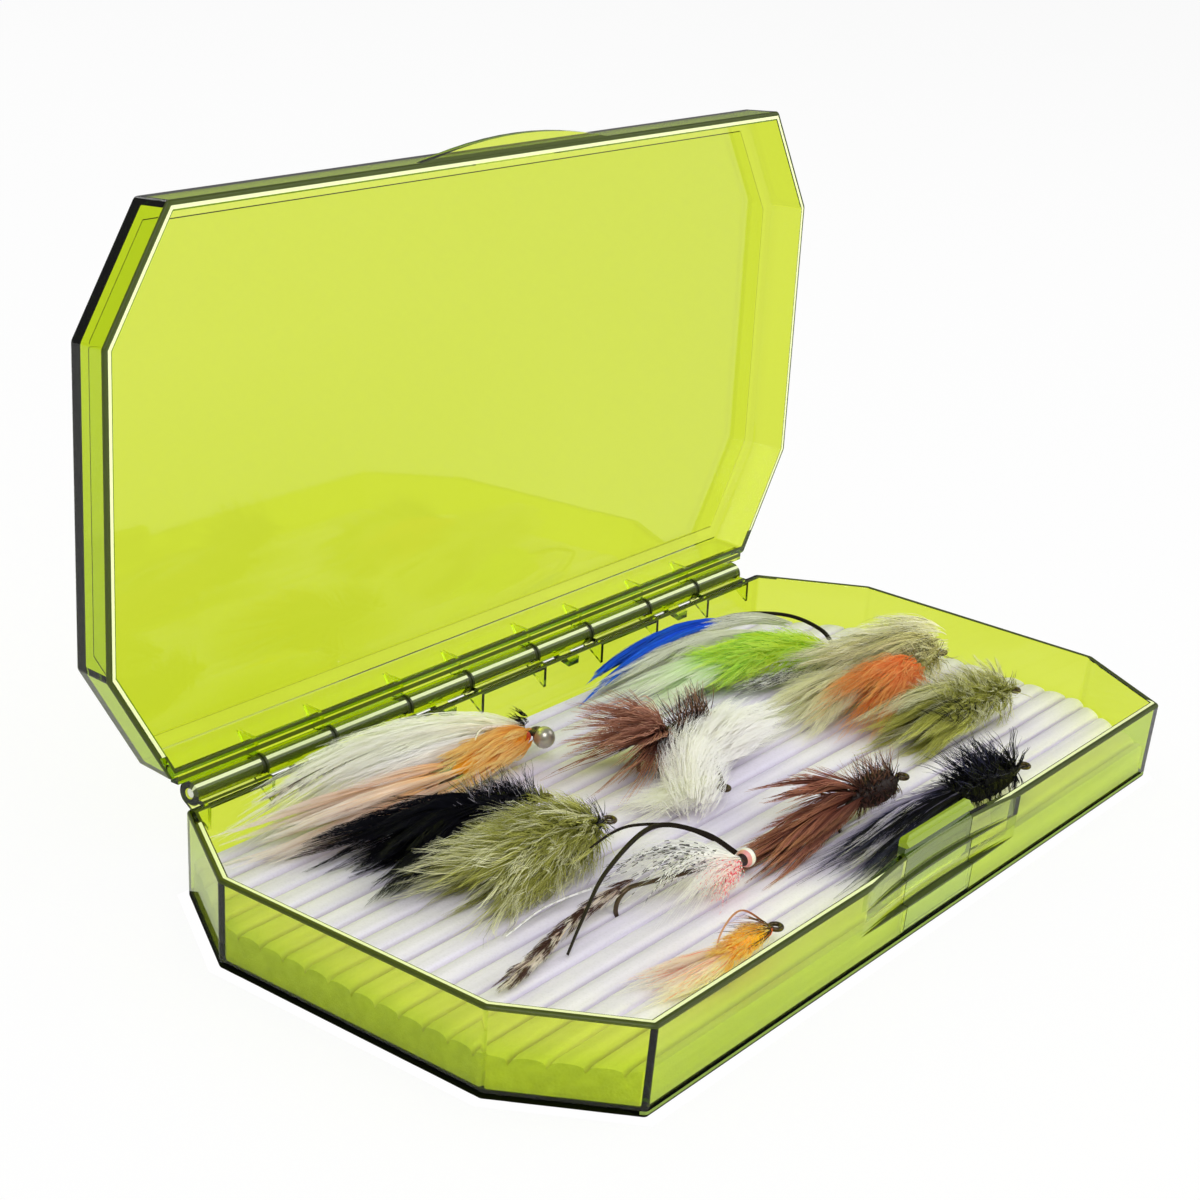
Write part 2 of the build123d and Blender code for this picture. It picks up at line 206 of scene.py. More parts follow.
# the share of the tint left where the painted shade is deepest
LID_SHADE_TINT = (0.90, 0.93, 0.5)
PLASTIC_TINT = (0.97, 1.0, 0.90)
PLASTIC_DEPTH = rgb(0.868, 0.9104, 0.0)
PLASTIC_DENSITY = 1250.0
TONGUE_TINT = (0.85, 0.92, 0.50)
TONGUE_CLEAR = 0.9
# painted shade along the rims' edges and the thumb scoop's rim
EDGE_SHADE_OLIVE = rgb(0.055, 0.075, 0.004)
# painted shade on the hinge barrel
BARREL_SHADE_OLIVE = rgb(0.16, 0.21, 0.03)
# a painted highlight on the rims' satin strip
RIM_SATIN_HIGHLIGHT = rgb(0.90, 0.96, 0.52)
# painted light on the thumb scoop's upper wall
SCOOP_PAINTED_LIGHT = rgb(0.70, 0.78, 0.36)
STEP_SHADE = rgb(0.035, 0.05, 0.003)
RING_SHADE = rgb(0.03, 0.04, 0.005)
# painted light in a band at the front wall's foot
FOOT_PAINTED_LIGHT = rgb(0.36, 0.52, 0.10)
# the hinge barrel's tint deepened as painted shade, and its painted highlight
BARREL_SHADE_GREEN = rgb(0.74, 0.78, 0.42)
BARREL_HIGHLIGHT = rgb(0.80, 0.86, 0.52)
# Bands of painted shade and a painted highlight round the barrel, in degrees up from the back,
# and of painted light and shade across the tongue, in millimetres of height: each from, to, its
# colour and its clearness.
BARREL_LIGHT_AND_SHADE_BANDS = [(60, 84, BARREL_SHADE_OLIVE, 0.7), (44, 60, BARREL_HIGHLIGHT, 0.0), (2, 44, BARREL_SHADE_OLIVE, 0.7)]
TONGUE_LIGHT_AND_SHADE_BANDS = [(12.4, 16.2, rgb(0.30, 0.37, 0.10), 0.6),
                (16.2, 17.6, rgb(0.07, 0.12, 0.005), 0.5),
                (17.6, 20.0, rgb(0.40, 0.54, 0.02), 0.4)]


def octagon_depth(graph, x, y):
    """How far inside the case's octagon a point is."""
    x, y = graph.math("ABSOLUTE", x), graph.math("ABSOLUTE", y)
    slant = math.hypot(CORNER_X, CORNER_Y)
    cut_x, cut_y = CORNER_Y / slant, CORNER_X / slant
    reach = (HALF_LENGTH - CORNER_X) * cut_x + HALF_WIDTH * cut_y
    facet = graph.plus(graph.times(x, cut_x), graph.times(y, cut_y))
    sides = graph.least(graph.minus(HALF_LENGTH, x), graph.minus(HALF_WIDTH, y))
    return graph.least(sides, graph.minus(reach, facet))


def plastic_marks(graph, where, tint, clear, bands):
    """The plastic's tint and how clear it is from place to place, with painted light and shade:
    painted shade along the rims' edges, a satin strip with a painted highlight on the rims, a
    hinge barrel tinted deeper as painted shade and banded with painted shade and a painted
    highlight, painted shade on the thumb scoop's rim and steps, painted light on the scoop's
    upper wall and at the front wall's foot, and painted shade that deepens the standing lid's
    tint towards its bottom and its -X end. The standing lid is marked by how high and far back
    each point is when the lid is shut."""
    spot = graph.axes(where)
    x, y, z = spot["X"], spot["Y"], spot["Z"]
    back, up = graph.minus(y, HINGE_Y), graph.minus(z, HINGE_Z)
    lean, rise = math.sin(OPEN_ANGLE), math.cos(OPEN_ANGLE)
    shut_up = graph.plus(graph.times(back, lean), graph.times(up, rise))
    shut_back = graph.minus(graph.times(back, rise), graph.times(up, lean))
    marks = []

    far_end = graph.math("GREATER_THAN", x, HALF_LENGTH - CORNER_X)
    for level, rim, side, plain in ((z, TRAY_RIM, y, far_end),
                                    (graph.times(shut_up, -1.0), LID_RIM_DROP,
                                     graph.plus(shut_back, HINGE_Y), 0.0)):
        inset = octagon_depth(graph, x, side)
        hinged = graph.math("GREATER_THAN", side, SIDE_Y)
        lines = graph.blend(hinged, graph.within(inset, OUTSIDE, STRIP_FROM),
                            graph.either(*(graph.within(inset, *edge) for edge in HINGE_SHADE_EDGES)))
        lines = graph.either(lines, graph.both(plain, graph.within(inset, 0.0, STRIP_TO)))
        # edge: the painted shade along the rim's edges
        edge = graph.both(graph.within(level, rim - RIM_ROUND, rim + SKIN), lines)
        # strip: a satin finish with a painted highlight, between the edges
        strip = graph.both(graph.within(level, rim - SKIN, rim + SKIN),
                           graph.within(inset, STRIP_FROM, STRIP_TO),
                           graph.minus(1.0, graph.either(hinged, plain)))
        marks += [(edge, EDGE_SHADE_OLIVE, 0.25), (strip, RIM_SATIN_HIGHLIGHT, 0.0)]

    # The thumb scoop and the front wall: painted light on the scoop's upper wall and at the
    # wall's foot, painted shade on the scoop's rim and steps.
    front = graph.math("LESS_THAN", y, -SIDE_Y)
    across = graph.math("DIVIDE", x, SCOOP_HALF)
    swell = graph.minus(1.0, graph.times(across, across))
    swell = graph.times(graph.most(swell, 0.0), SCOOP_LINE_HALF)
    inset = octagon_depth(graph, x, y)
    in_scoop = graph.both(front, graph.within(inset, *SCOOP_DEPTH),
                          graph.within(x, -SCOOP_HALF, SCOOP_HALF))
    # the scoop's upper wall, paler and less clear as painted light
    scoop_lit_wall = graph.both(in_scoop, graph.within(z, SCOOP_LINES[1], TRAY_RIM - SKIN))
    # painted shade along the scoop's rim
    scoop_rim_shade = graph.both(in_scoop, graph.within(z, TRAY_RIM - SCOOP_RIM, TRAY_RIM - SKIN))
    steps = [graph.math("LESS_THAN", graph.math("ABSOLUTE", graph.minus(z, line)),
                        swell) for line in SCOOP_LINES]
    # a band of painted light at the front wall's foot
    foot = graph.both(graph.math("LESS_THAN", y, -FOOT_Y), graph.within(z, *FOOT_LINE))
    marks += [(scoop_lit_wall, SCOOP_PAINTED_LIGHT, 0.85),
              (scoop_rim_shade, EDGE_SHADE_OLIVE, 0.25),
              (graph.both(front, graph.either(*steps)), STEP_SHADE, 0.3),
              (foot, FOOT_PAINTED_LIGHT, 0.2)]

    # The hinge barrel: a deeper tint as painted shade all round, bands of painted shade above and
    # below a painted highlight, and dark rings at the knuckles' ends.
    from_axis = graph.math("SQRT", graph.plus(graph.times(back, back), graph.times(up, up)))
    barrel = graph.math("LESS_THAN", from_axis, BARREL_RADIUS)
    turn = graph.math("ARCTAN2", up, graph.times(back, -1.0))
    from_middle = graph.math("ABSOLUTE", x)
    rings = graph.either(*(graph.within(from_middle, end - KNUCKLE_RING, end + KNUCKLE_RING)
                           for end in KNUCKLE_ENDS))
    marks.append((barrel, BARREL_SHADE_GREEN, 1.0))
    for low, high, colour, see in BARREL_LIGHT_AND_SHADE_BANDS:
        band = graph.within(turn, math.radians(low), math.radians(high))
        marks.append((graph.both(barrel, band), colour, see))
    marks.append((graph.both(barrel, rings), RING_SHADE, 0.3))

    # bands of painted light and shade across the piece, where given
    for low, high, colour, see in bands:
        marks.append((graph.within(z, low * MM, high * MM), colour, see))

    # painted shade: the standing lid's tint deepens towards its bottom and its -X end
    deep = graph.both(graph.remap(x, *DEEP_ALONG), graph.remap(shut_back, *DEEP_BACK),
                      graph.math("GREATER_THAN", z, HINGE_Z + BARREL_RADIUS))
    deeper = rgb(*(part * share for part, share in zip(tint, LID_SHADE_TINT)))
    colour = graph.colours(deep, rgb(*tint), deeper)
    see = clear
    for mask, mark, mark_see in marks:
        colour = graph.colours(mask, colour, mark)
        see = graph.blend(mask, see, mark_see)
    return colour, see


def tinted_plastic(name, tint, clear=1.0, bands=()):
    """Clear chartreuse plastic that darkens with the length of light's way through it, carries
    marks of painted light and shade, and may have bands of painted light and shade across it."""
    material, graph, shader = new_material(name, IOR=1.42)
    output = material.node_tree.nodes["Material Output"]
    ways = graph.add("ShaderNodeLightPath")
    open_to_lamps = graph.add("ShaderNodeBsdfTransparent", {"Color": rgb(0.95, 0.97, 0.88)})
    mixed = graph.add("ShaderNodeMixShader", {0: ways.outputs["Is Shadow Ray"],
                                              1: shader.outputs[0],
                                              2: open_to_lamps.outputs[0]})
    graph.feed(output.inputs["Surface"], mixed.outputs[0])
    depth = graph.add("ShaderNodeVolumeAbsorption", {"Color": PLASTIC_DEPTH,
                                                     "Density": PLASTIC_DENSITY})
    graph.feed(output.inputs["Volume"], depth.outputs[0])
    where = graph.place()
    flow = graph.noise(where, 35.0, 1.0)
    bump = graph.add("ShaderNodeBump", {"Strength": 0.04, "Distance": 0.0004,
                                        "Height": flow.outputs["Fac"]})
    graph.feed(shader.inputs["Normal"], bump.outputs[0])
    colour, see = plastic_marks(graph, where, tint, clear, bands)
    graph.feed(shader.inputs["Base Color"], colour)
    graph.feed(shader.inputs["Transmission Weight"], see)
    graph.feed(shader.inputs["Roughness"], graph.remap(see, 0.2, 0.6, 0.5, 0.03))
    return material


def pin_steel():
    material, graph, shader = new_material("pin_steel", Metallic=1.0, Roughness=0.22)
    where = graph.place()
    grain = graph.noise(graph.vector("MULTIPLY", where, (40.0, 2500.0, 2500.0)), 1.0, 3.0)
    tone = graph.remap(grain.outputs["Fac"], 0.3, 0.7)
    graph.feed(shader.inputs["Base Color"],
               graph.colours(tone, rgb(0.62, 0.63, 0.62), rgb(0.82, 0.82, 0.80)))
    return material


def hook_bronze():
    material, graph, shader = new_material("hook_bronze", Metallic=0.9, Roughness=0.3)
    where = graph.place()
    cloud = graph.noise(where, 600.0)
    graph.feed(shader.inputs["Base Color"],
               graph.colours(cloud.outputs["Fac"], rgb(0.06, 0.04, 0.025), rgb(0.16, 0.12, 0.08)))
    return material


EYES_Y = 34 * MM               # the middle between the two bead eyes
EYE_SHADE_REACH = 2.6 * MM           # from there out the beads are plain nickel; nearer, painted shade


def bead_eyes():
    """Nickel bead eyes, with painted shade on their inner halves where the bar joins them."""
    material, graph, shader = new_material("bead_eyes", Roughness=0.3)
    where = graph.place()
    aside = graph.axes(where)["Y"]
    aside = graph.math("ABSOLUTE", graph.minus(aside, EYES_Y))
    # dark: painted shade on the beads' inner halves
    dark = graph.math("LESS_THAN", aside, EYE_SHADE_REACH)
    graph.feed(shader.inputs["Base Color"],
               graph.colours(dark, rgb(0.50, 0.48, 0.41), rgb(0.03, 0.025, 0.02)))
    graph.feed(shader.inputs["Metallic"], graph.remap(dark, 0.0, 1.0, 0.7, 0.0))
    return material


BEAD_X = -23.6 * MM            # the grizzly fly's bead: its middle, and its bands from there
BEAD_ROSE = (-0.55 * MM, 1.15 * MM)    # rose outside these two
BEAD_RING = (0.75 * MM, 0.26 * MM)     # a dark ring's middle and half its width
BEAD_HOLE = -1.25 * MM                 # dark past this


def ringed_bead():
    """A white bead with a dark hole, a rose band and a dark ring, along the hook's shank."""
    material, graph, shader = new_material("ringed_bead", Roughness=0.3)
    where = graph.place()
    along = graph.axes(where)["X"]
    along = graph.minus(along, BEAD_X)
    rose = graph.either(graph.math("LESS_THAN", along, BEAD_ROSE[0]),
                        graph.math("GREATER_THAN", along, BEAD_ROSE[1]))
    dark = graph.either(graph.math("COMPARE", along, *BEAD_RING),
                        graph.math("LESS_THAN", along, BEAD_HOLE))
    colour = graph.colours(rose, rgb(0.90, 0.88, 0.86), rgb(0.80, 0.33, 0.34))
    graph.feed(shader.inputs["Base Color"], graph.colours(dark, colour, rgb(0.03, 0.012, 0.012)))
    return material


def foam_white():
    """White closed-cell foam with a slight lilac cast, a skin of fine pores and painted shade in
    the valleys between its ridges.
    """
    material, graph, shader = new_material("foam_white", Roughness=0.85, Sheen_Weight=0.15,
                                           Sheen_Roughness=0.6)
    where = graph.place()
    cells = graph.add("ShaderNodeTexVoronoi", {"Vector": where, "Scale": 1900.0})
    cloud = graph.noise(where, 60.0)
    # low: how much of the painted valley shade a point takes
    low = graph.add("ShaderNodeAttribute", attribute_name="valley").outputs["Fac"]
    skin = graph.colours(cloud.outputs["Fac"], rgb(0.83, 0.79, 0.94), rgb(0.89, 0.855, 0.98))
    pore = graph.remap(cells.outputs["Distance"], 0.0, 0.5, 0.93, 1.0)
    skin = graph.colours(1.0, skin, pore, "MULTIPLY")
    streak = graph.noise(graph.vector("MULTIPLY", where, (14.0, 420.0, 420.0)), 1.0)
    streak = graph.remap(streak.outputs["Fac"], 0.35, 0.65)
    skin = graph.colours(1.0, skin, graph.remap(streak, 0.0, 1.0, 0.86, 1.0), "MULTIPLY")
    low = graph.times(low, graph.remap(streak, 0.0, 1.0, 1.0, 0.4))
    # painted shade in the valleys between the ridges
    graph.feed(shader.inputs["Base Color"], graph.colours(low, skin, rgb(0.47, 0.41, 0.52)))
    bump = graph.add("ShaderNodeBump", {"Strength": 0.35, "Distance": 0.00012,
                                        "Height": cells.outputs["Distance"]})
    graph.feed(shader.inputs["Normal"], bump.outputs[0])
    return material


# ---- foam pad ----------------------------------------------------------------------------
FOAM_PITCH = 4.9 * MM
FOAM_CREST = 7.4 * MM
FOAM_VALLEY = 6.1 * MM
FOAM_UNEVEN = 0.07 * MM        # how much the crests rise and fall along the pad
FOAM_INSET = 0.02 * MM
FOAM_SKIRT = 0.25 * MM         # a strip of wall under the ridges' ends, which keeps them crisp
FOAM_DROOP = 0.35 * MM         # how far the ends of the ridges round down
DROOP_FROM = 0.994             # the share of a ridge's length that stays level
RIDGE_STEPS = 10
RUN_STEPS = 150
FOAM_LOW, FOAM_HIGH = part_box("foam_insert")
FOAM_EDGE = 0.2 * MM           # points this near the box's side are on the pad's side


def foam_facets():
    """The y where the pad's corner facets start, and its half length at its long sides."""
    points = [v.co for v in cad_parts["foam_insert"].data.vertices]
    side_y = max(abs(p.y) for p in points if abs(p.x) > FOAM_HIGH.x - FOAM_EDGE)
    end_x = max(abs(p.x) for p in points if abs(p.y) > FOAM_HIGH.y - FOAM_EDGE)
    return side_y, end_x


FACET_Y, FACET_X = foam_facets()
FACET_SLOPE = (FOAM_HIGH.x - FACET_X) / (FOAM_HIGH.y - FACET_Y)


def foam_reach(y):
    """How far the pad reaches in X at a given y."""
    return FOAM_HIGH.x - FACET_SLOPE * max(0.0, abs(y) - FACET_Y)


def foam_top(x, y):
    """The ridges' height at a point, a little uneven, and how deep in a valley it is, which sets
    its painted shade.
    """
    share = (y / FOAM_PITCH) % 1.0
    arch = 1 - (2 * share - 1) ** 2
    height = FOAM_VALLEY + (FOAM_CREST - FOAM_VALLEY) * arch ** 0.35
    sway = math.sin(x * 61 + y * 140) * math.sin(x * 23 - y * 311)
    height += FOAM_UNEVEN * sway * arch
    return height, max(0.0, 1 - arch * 2.4) ** 1.5


def make_foam_pad():
    """The ridged pad: a closed block whose top is rows of points across the ridges."""
    half = min(-FOAM_LOW.y, FOAM_HIGH.y) - FOAM_INSET
    rows = []
    y = math.ceil(-half / FOAM_PITCH - 1) * FOAM_PITCH
    while y < half:
        rows += [y + FOAM_PITCH * step / RIDGE_STEPS for step in range(RIDGE_STEPS)]
        y += FOAM_PITCH
    rows = sorted({round(max(-half, min(half, y)), 6) for y in rows})
    mesh = bmesh.new()
    # valley: each point's share of the painted shade in the foam's valleys
    valley = mesh.verts.layers.float.new("valley")
    top, brim, bottom = [], [], []
    for y in rows:
        upper, edge, lower = [], [], []
        for step in range(RUN_STEPS + 1):
            share = 2 * step / RUN_STEPS - 1
            x = (foam_reach(y) - FOAM_INSET) * share
            z, depth = foam_top(x, y)
            droop = max(0.0, abs(share) - DROOP_FROM) / (1 - DROOP_FROM)
            vertex = mesh.verts.new((x, y, z - FOAM_DROOP * droop ** 2))
            vertex[valley] = depth
            upper.append(vertex)
            rim = step in (0, RUN_STEPS) or y in (rows[0], rows[-1])
            edge.append(mesh.verts.new((x, y, vertex.co.z - FOAM_SKIRT)) if rim else None)
            lower.append(mesh.verts.new((x, y, FOAM_LOW.z)))
        top.append(upper)
        brim.append(edge)
        bottom.append(lower)
    last = len(rows) - 1
    for j in range(last):
        for i in range(RUN_STEPS):
            mesh.faces.new((top[j][i], top[j][i + 1], top[j + 1][i + 1], top[j + 1][i]))
            mesh.faces.new((bottom[j][i], bottom[j + 1][i], bottom[j + 1][i + 1],
                            bottom[j][i + 1]))
        for i, order in ((0, 1), (RUN_STEPS, -1)):
            for over, under in ((top, brim), (brim, bottom)):
                wall = (over[j][i], over[j + 1][i], under[j + 1][i], under[j][i])
                mesh.faces.new(wall[::order])
    for i in range(RUN_STEPS):
        for j, order in ((0, -1), (last, 1)):
            for over, under in ((top, brim), (brim, bottom)):
                wall = (over[j][i], over[j][i + 1], under[j][i + 1], under[j][i])
                mesh.faces.new(wall[::order])
    bmesh.ops.recalc_face_normals(mesh, faces=mesh.faces)
    data = bpy.data.meshes.new("foam_pad")
    mesh.to_mesh(data)
    mesh.free()
    data.shade_smooth()
    data.set_sharp_from_angle(angle=math.radians(50))
    data.materials.append(foam_white())
    pad = settle(add_object("foam_pad", data), "tray", ["foam_insert"])
    return pad


# ---- fibres ------------------------------------------------------------------------------
# What a bunch of fibres takes, with its usual sizes in millimetres: how many fibres and wisps,
# where on the spine they start and how far they reach, how they spread round it from root to
# tip, how they sway, how thick they are, and the wound core under them.
LENGTH, COUNT, SHARE = "length", "count", "share"
FIBRE_INPUTS = {
    "Fibres": (COUNT, 500), "Wisps": (COUNT, 60), "Steps": (COUNT, 7), "Seed": (COUNT, 1),
    "Start Low": (SHARE, 0.0), "Start High": (SHARE, 0.1),
    "Reach Low": (SHARE, 0.6), "Reach High": (SHARE, 1.0), "Uneven": (SHARE, 0.15),
    "Angle Low": (SHARE, 0.0), "Angle High": (SHARE, 1.0), "Ease": (SHARE, 1.0),
    "Hollow": (SHARE, 0.5),
    "Root Width": (LENGTH, 0.5), "Root Height": (LENGTH, 0.5),
    "Tip Width": (LENGTH, 3.0), "Tip Height": (LENGTH, 2.0), "Wisp": (LENGTH, 0.6),
    "Sway": (LENGTH, 2.0), "Frizz": (LENGTH, 0.5), "Waves": (SHARE, 1.5),
    "Thick": (LENGTH, 0.12), "Taper": (SHARE, 0.8),
    "Core": (LENGTH, 0.0), "Core End": (SHARE, 1.0), "Turns": (SHARE, 12.0),
}
SOCKETS = {COUNT: "NodeSocketInt", SHARE: "NodeSocketFloat", LENGTH: "NodeSocketFloat"}
CEILING = 22.3 * MM       # just under the shut lid's top
FOAM_CLEAR = 0.15 * MM
BED_UNEVEN = 0.5 * MM     # fibres pressed on the foam lie up to this much higher
THINNEST_CORE = 0.02 * MM
CORE_SIDES = 14
CORE_STEPS = 90


def fibre_tree():
    """Fibres in tapering wisps along the curve that the object's own edges give."""
    tree = bpy.data.node_groups.new("dressing_fibres", "GeometryNodeTree")
    tree.interface.new_socket("Geometry", in_out="INPUT", socket_type="NodeSocketGeometry")
    for label, (kind, value) in FIBRE_INPUTS.items():
        socket = tree.interface.new_socket(label, in_out="INPUT", socket_type=SOCKETS[kind])
        socket.default_value = value * MM if kind == LENGTH else value
    tree.interface.new_socket("Material", in_out="INPUT", socket_type="NodeSocketMaterial")
    tree.interface.new_socket("Geometry", in_out="OUTPUT", socket_type="NodeSocketGeometry")
    graph = Graph(tree)
    given = graph.add("NodeGroupInput").outputs

    def chance(ident, salt):
        seed = graph.plus(given["Seed"], salt * 101)
        node = graph.add("FunctionNodeRandomValue", {"Min": 0.0, "Max": 1.0, "ID": ident,
                                                     "Seed": seed}, data_type="FLOAT")
        return node.outputs[1]

    spine = graph.add("GeometryNodeMeshToCurve", {"Mesh": given["Geometry"]}).outputs[0]
    spine = graph.add("GeometryNodeCurveSplineType", {"Curve": spine},
                      spline_type="CATMULL_ROM").outputs[0]
    spine = graph.add("GeometryNodeResampleCurve", {"Curve": spine,
                                                    "Count": CORE_STEPS}).outputs[0]

    points = graph.add("GeometryNodePoints", {"Count": given["Fibres"]}).outputs[0]
    line = graph.add("GeometryNodeCurvePrimitiveLine", {"Start": (0, 0, 0), "End": (0, 0, 1)})
    line = graph.add("GeometryNodeResampleCurve", {"Curve": line.outputs[0],
                                                   "Count": given["Steps"]}).outputs[0]
    strands = graph.add("GeometryNodeInstanceOnPoints", {"Points": points, "Instance": line})
    strands = graph.add("GeometryNodeRealizeInstances", {"Geometry": strands.outputs[0]})
    place = graph.add("GeometryNodeCurveOfPoint")
    one = place.outputs["Curve Index"]
    last = graph.minus(given["Steps"], 1)
    along = graph.math("DIVIDE", place.outputs["Index in Curve"], last)
    wisp = graph.math("FLOOR", graph.times(chance(one, 1), given["Wisps"]))

    start = graph.blend(chance(wisp, 2), given["Start Low"], given["Start High"])
    reach = graph.blend(chance(wisp, 3), given["Reach Low"], given["Reach High"])
    short = graph.minus(1.0, graph.times(chance(one, 4), given["Uneven"]))
    reach = graph.times(reach, short)
    share = graph.plus(start, graph.times(reach, along))
    inside = graph.add("ShaderNodeClamp", {"Value": share}).outputs[0]
    sample = graph.add("GeometryNodeSampleCurve", {"Curves": spine, "Factor": inside},
                       mode="FACTOR")
    length = graph.add("GeometryNodeCurveLength", {"Curve": spine}).outputs[0]
    past = graph.times(graph.minus(share, inside), length)
    heading = sample.outputs["Tangent"]
    side = graph.vector("NORMALIZE", graph.vector("CROSS_PRODUCT", (0, 0, 1), heading))
    rise = graph.vector("CROSS_PRODUCT", heading, side)

    angle = graph.times(math.tau,
                        graph.blend(chance(wisp, 5), given["Angle Low"], given["Angle High"]))
    fill = graph.blend(given["Hollow"], graph.math("SQRT", chance(wisp, 6)), 1.0)
    grown = graph.math("POWER", along, given["Ease"])
    width = graph.times(fill, graph.blend(grown, given["Root Width"], given["Tip Width"]))
    height = graph.times(fill, graph.blend(grown, given["Root Height"], given["Tip Height"]))
    belly = graph.times(graph.times(along, 4.0), graph.minus(1.0, along))
    loose = graph.times(graph.times(given["Wisp"], belly), graph.math("SQRT", chance(one, 7)))
    turn = graph.times(math.tau, chance(one, 8))
    aside = graph.plus(graph.times(graph.math("COSINE", angle), width),
                       graph.times(graph.math("COSINE", turn), loose))
    above = graph.plus(graph.times(graph.math("SINE", angle), height),
                       graph.times(graph.math("SINE", turn), loose))

    def drift(ident, salt, amount):
        path = graph.add("ShaderNodeCombineXYZ", {"X": graph.times(along, given["Waves"]),
                                                  "Y": graph.times(ident, 3.713),
                                                  "Z": salt})
        wave = graph.noise(path.outputs[0], 1.0, 1.0).outputs["Color"]
        wave = graph.vector("SUBTRACT", wave, (0.5, 0.5, 0.5))
        return graph.scaled(wave, graph.times(graph.times(amount, 2.0), along))

    spot = graph.vector("ADD", sample.outputs["Position"], graph.scaled(heading, past))
    spot = graph.vector("ADD", spot, graph.scaled(side, aside))
    spot = graph.vector("ADD", spot, graph.scaled(rise, above))
    spot = graph.vector("ADD", spot, drift(wisp, 11.5, given["Sway"]))
    spot = graph.vector("ADD", spot, drift(one, 47.25, given["Frizz"]))
    bed = graph.plus(FOAM_CREST + FOAM_CLEAR, graph.times(chance(one, 9), BED_UNEVEN))
    axes = graph.axes(spot)
    along_y = graph.least(graph.most(axes["Y"], FOAM_LOW.y), FOAM_HIGH.y)
    past_y = graph.most(graph.minus(graph.math("ABSOLUTE", along_y), FACET_Y), 0.0)
    wall = graph.minus(FOAM_HIGH.x, graph.times(past_y, FACET_SLOPE))
    along_x = graph.least(axes["X"], wall)
    along_x = graph.most(along_x, graph.times(wall, -1.0))
    along_z = graph.least(graph.most(axes["Z"], bed), CEILING)
    spot = graph.add("ShaderNodeCombineXYZ", {"X": along_x, "Y": along_y, "Z": along_z})
    spot = spot.outputs[0]
    strands = graph.add("GeometryNodeSetPosition", {"Geometry": strands.outputs[0],
                                                    "Position": spot}).outputs[0]

    def keep(geometry, name, value):
        node = graph.add("GeometryNodeStoreNamedAttribute",
                         {"Geometry": geometry, "Name": name, "Value": value},
                         data_type="FLOAT", domain="POINT")
        return node.outputs[0]

    strands = keep(strands, "along", along)
    strands = keep(strands, "run", share)
    strands = keep(strands, "tone", chance(one, 10))
    strands = keep(strands, "wisp", chance(wisp, 12))
    thin = graph.minus(1.0, graph.times(given["Taper"], graph.math("POWER", along, 1.5)))
    radius = graph.times(graph.times(given["Thick"], 0.5), thin)
    radius = graph.times(radius, graph.blend(chance(one, 13), 0.7, 1.3))
    ring = graph.add("GeometryNodeCurvePrimitiveCircle", {"Resolution": 3, "Radius": 1.0})
    hairs = graph.add("GeometryNodeCurveToMesh",
                      {"Curve": strands, "Profile Curve": ring.outputs[0], "Scale": radius,
                       "Fill Caps": True}).outputs[0]
    hairs = graph.add("GeometryNodeSetShadeSmooth", {"Geometry": hairs, "Shade Smooth": False})
    hairs = hairs.outputs[0]

    core_end = graph.add("GeometryNodeTrimCurve", {"Curve": spine, "End": given["Core End"]},
                         mode="FACTOR").outputs[0]
    core_line = graph.add("GeometryNodeResampleCurve", {"Curve": core_end,
                                                        "Count": CORE_STEPS}).outputs[0]
    here = graph.add("GeometryNodeSplineParameter").outputs["Factor"]
    swell = graph.math("POWER", graph.math("SINE", graph.times(here, math.pi)), 0.6)
    coils = graph.math("SINE", graph.times(here, graph.times(given["Turns"], math.tau)))
    coils = graph.plus(0.9, graph.times(coils, 0.1))
    girth = graph.times(given["Core"], graph.times(swell, coils))
    girth = graph.most(girth, THINNEST_CORE)
    core_line = keep(core_line, "along", 0.0)
    core_line = keep(core_line, "run", here)
    core_line = keep(core_line, "tone", graph.noise(graph.add("GeometryNodeInputPosition")
                                                    .outputs[0], 1500.0).outputs["Fac"])
    core_line = keep(core_line, "wisp", 0.5)
    round_profile = graph.add("GeometryNodeCurvePrimitiveCircle", {"Resolution": CORE_SIDES,
                                                                   "Radius": 1.0})
    core = graph.add("GeometryNodeCurveToMesh",
                     {"Curve": core_line, "Profile Curve": round_profile.outputs[0],
                      "Scale": girth, "Fill Caps": True}).outputs[0]
    core = graph.add("GeometryNodeSetShadeSmooth", {"Geometry": core}).outputs[0]
    has_core = graph.math("GREATER_THAN", given["Core"], 0.0)
    core = graph.add("GeometryNodeSwitch", {"Switch": has_core, "True": core},
                     input_type="GEOMETRY").outputs[0]
    both = graph.add("GeometryNodeJoinGeometry")
    tree.links.new(hairs, both.inputs[0])
    tree.links.new(core, both.inputs[0])
    made = graph.add("GeometryNodeRealizeInstances", {"Geometry": both.outputs[0]})
    made = graph.add("GeometryNodeSetMaterial", {"Geometry": made.outputs[0],
                                                 "Material": given["Material"]})
    out = graph.add("NodeGroupOutput")
    tree.links.new(made.outputs[0], out.inputs[0])
    return tree


FIBRE_TREE = fibre_tree()
FIBRE_IDS = {item.name: item.identifier for item in FIBRE_TREE.interface.items_tree
             if item.in_out == "INPUT"}


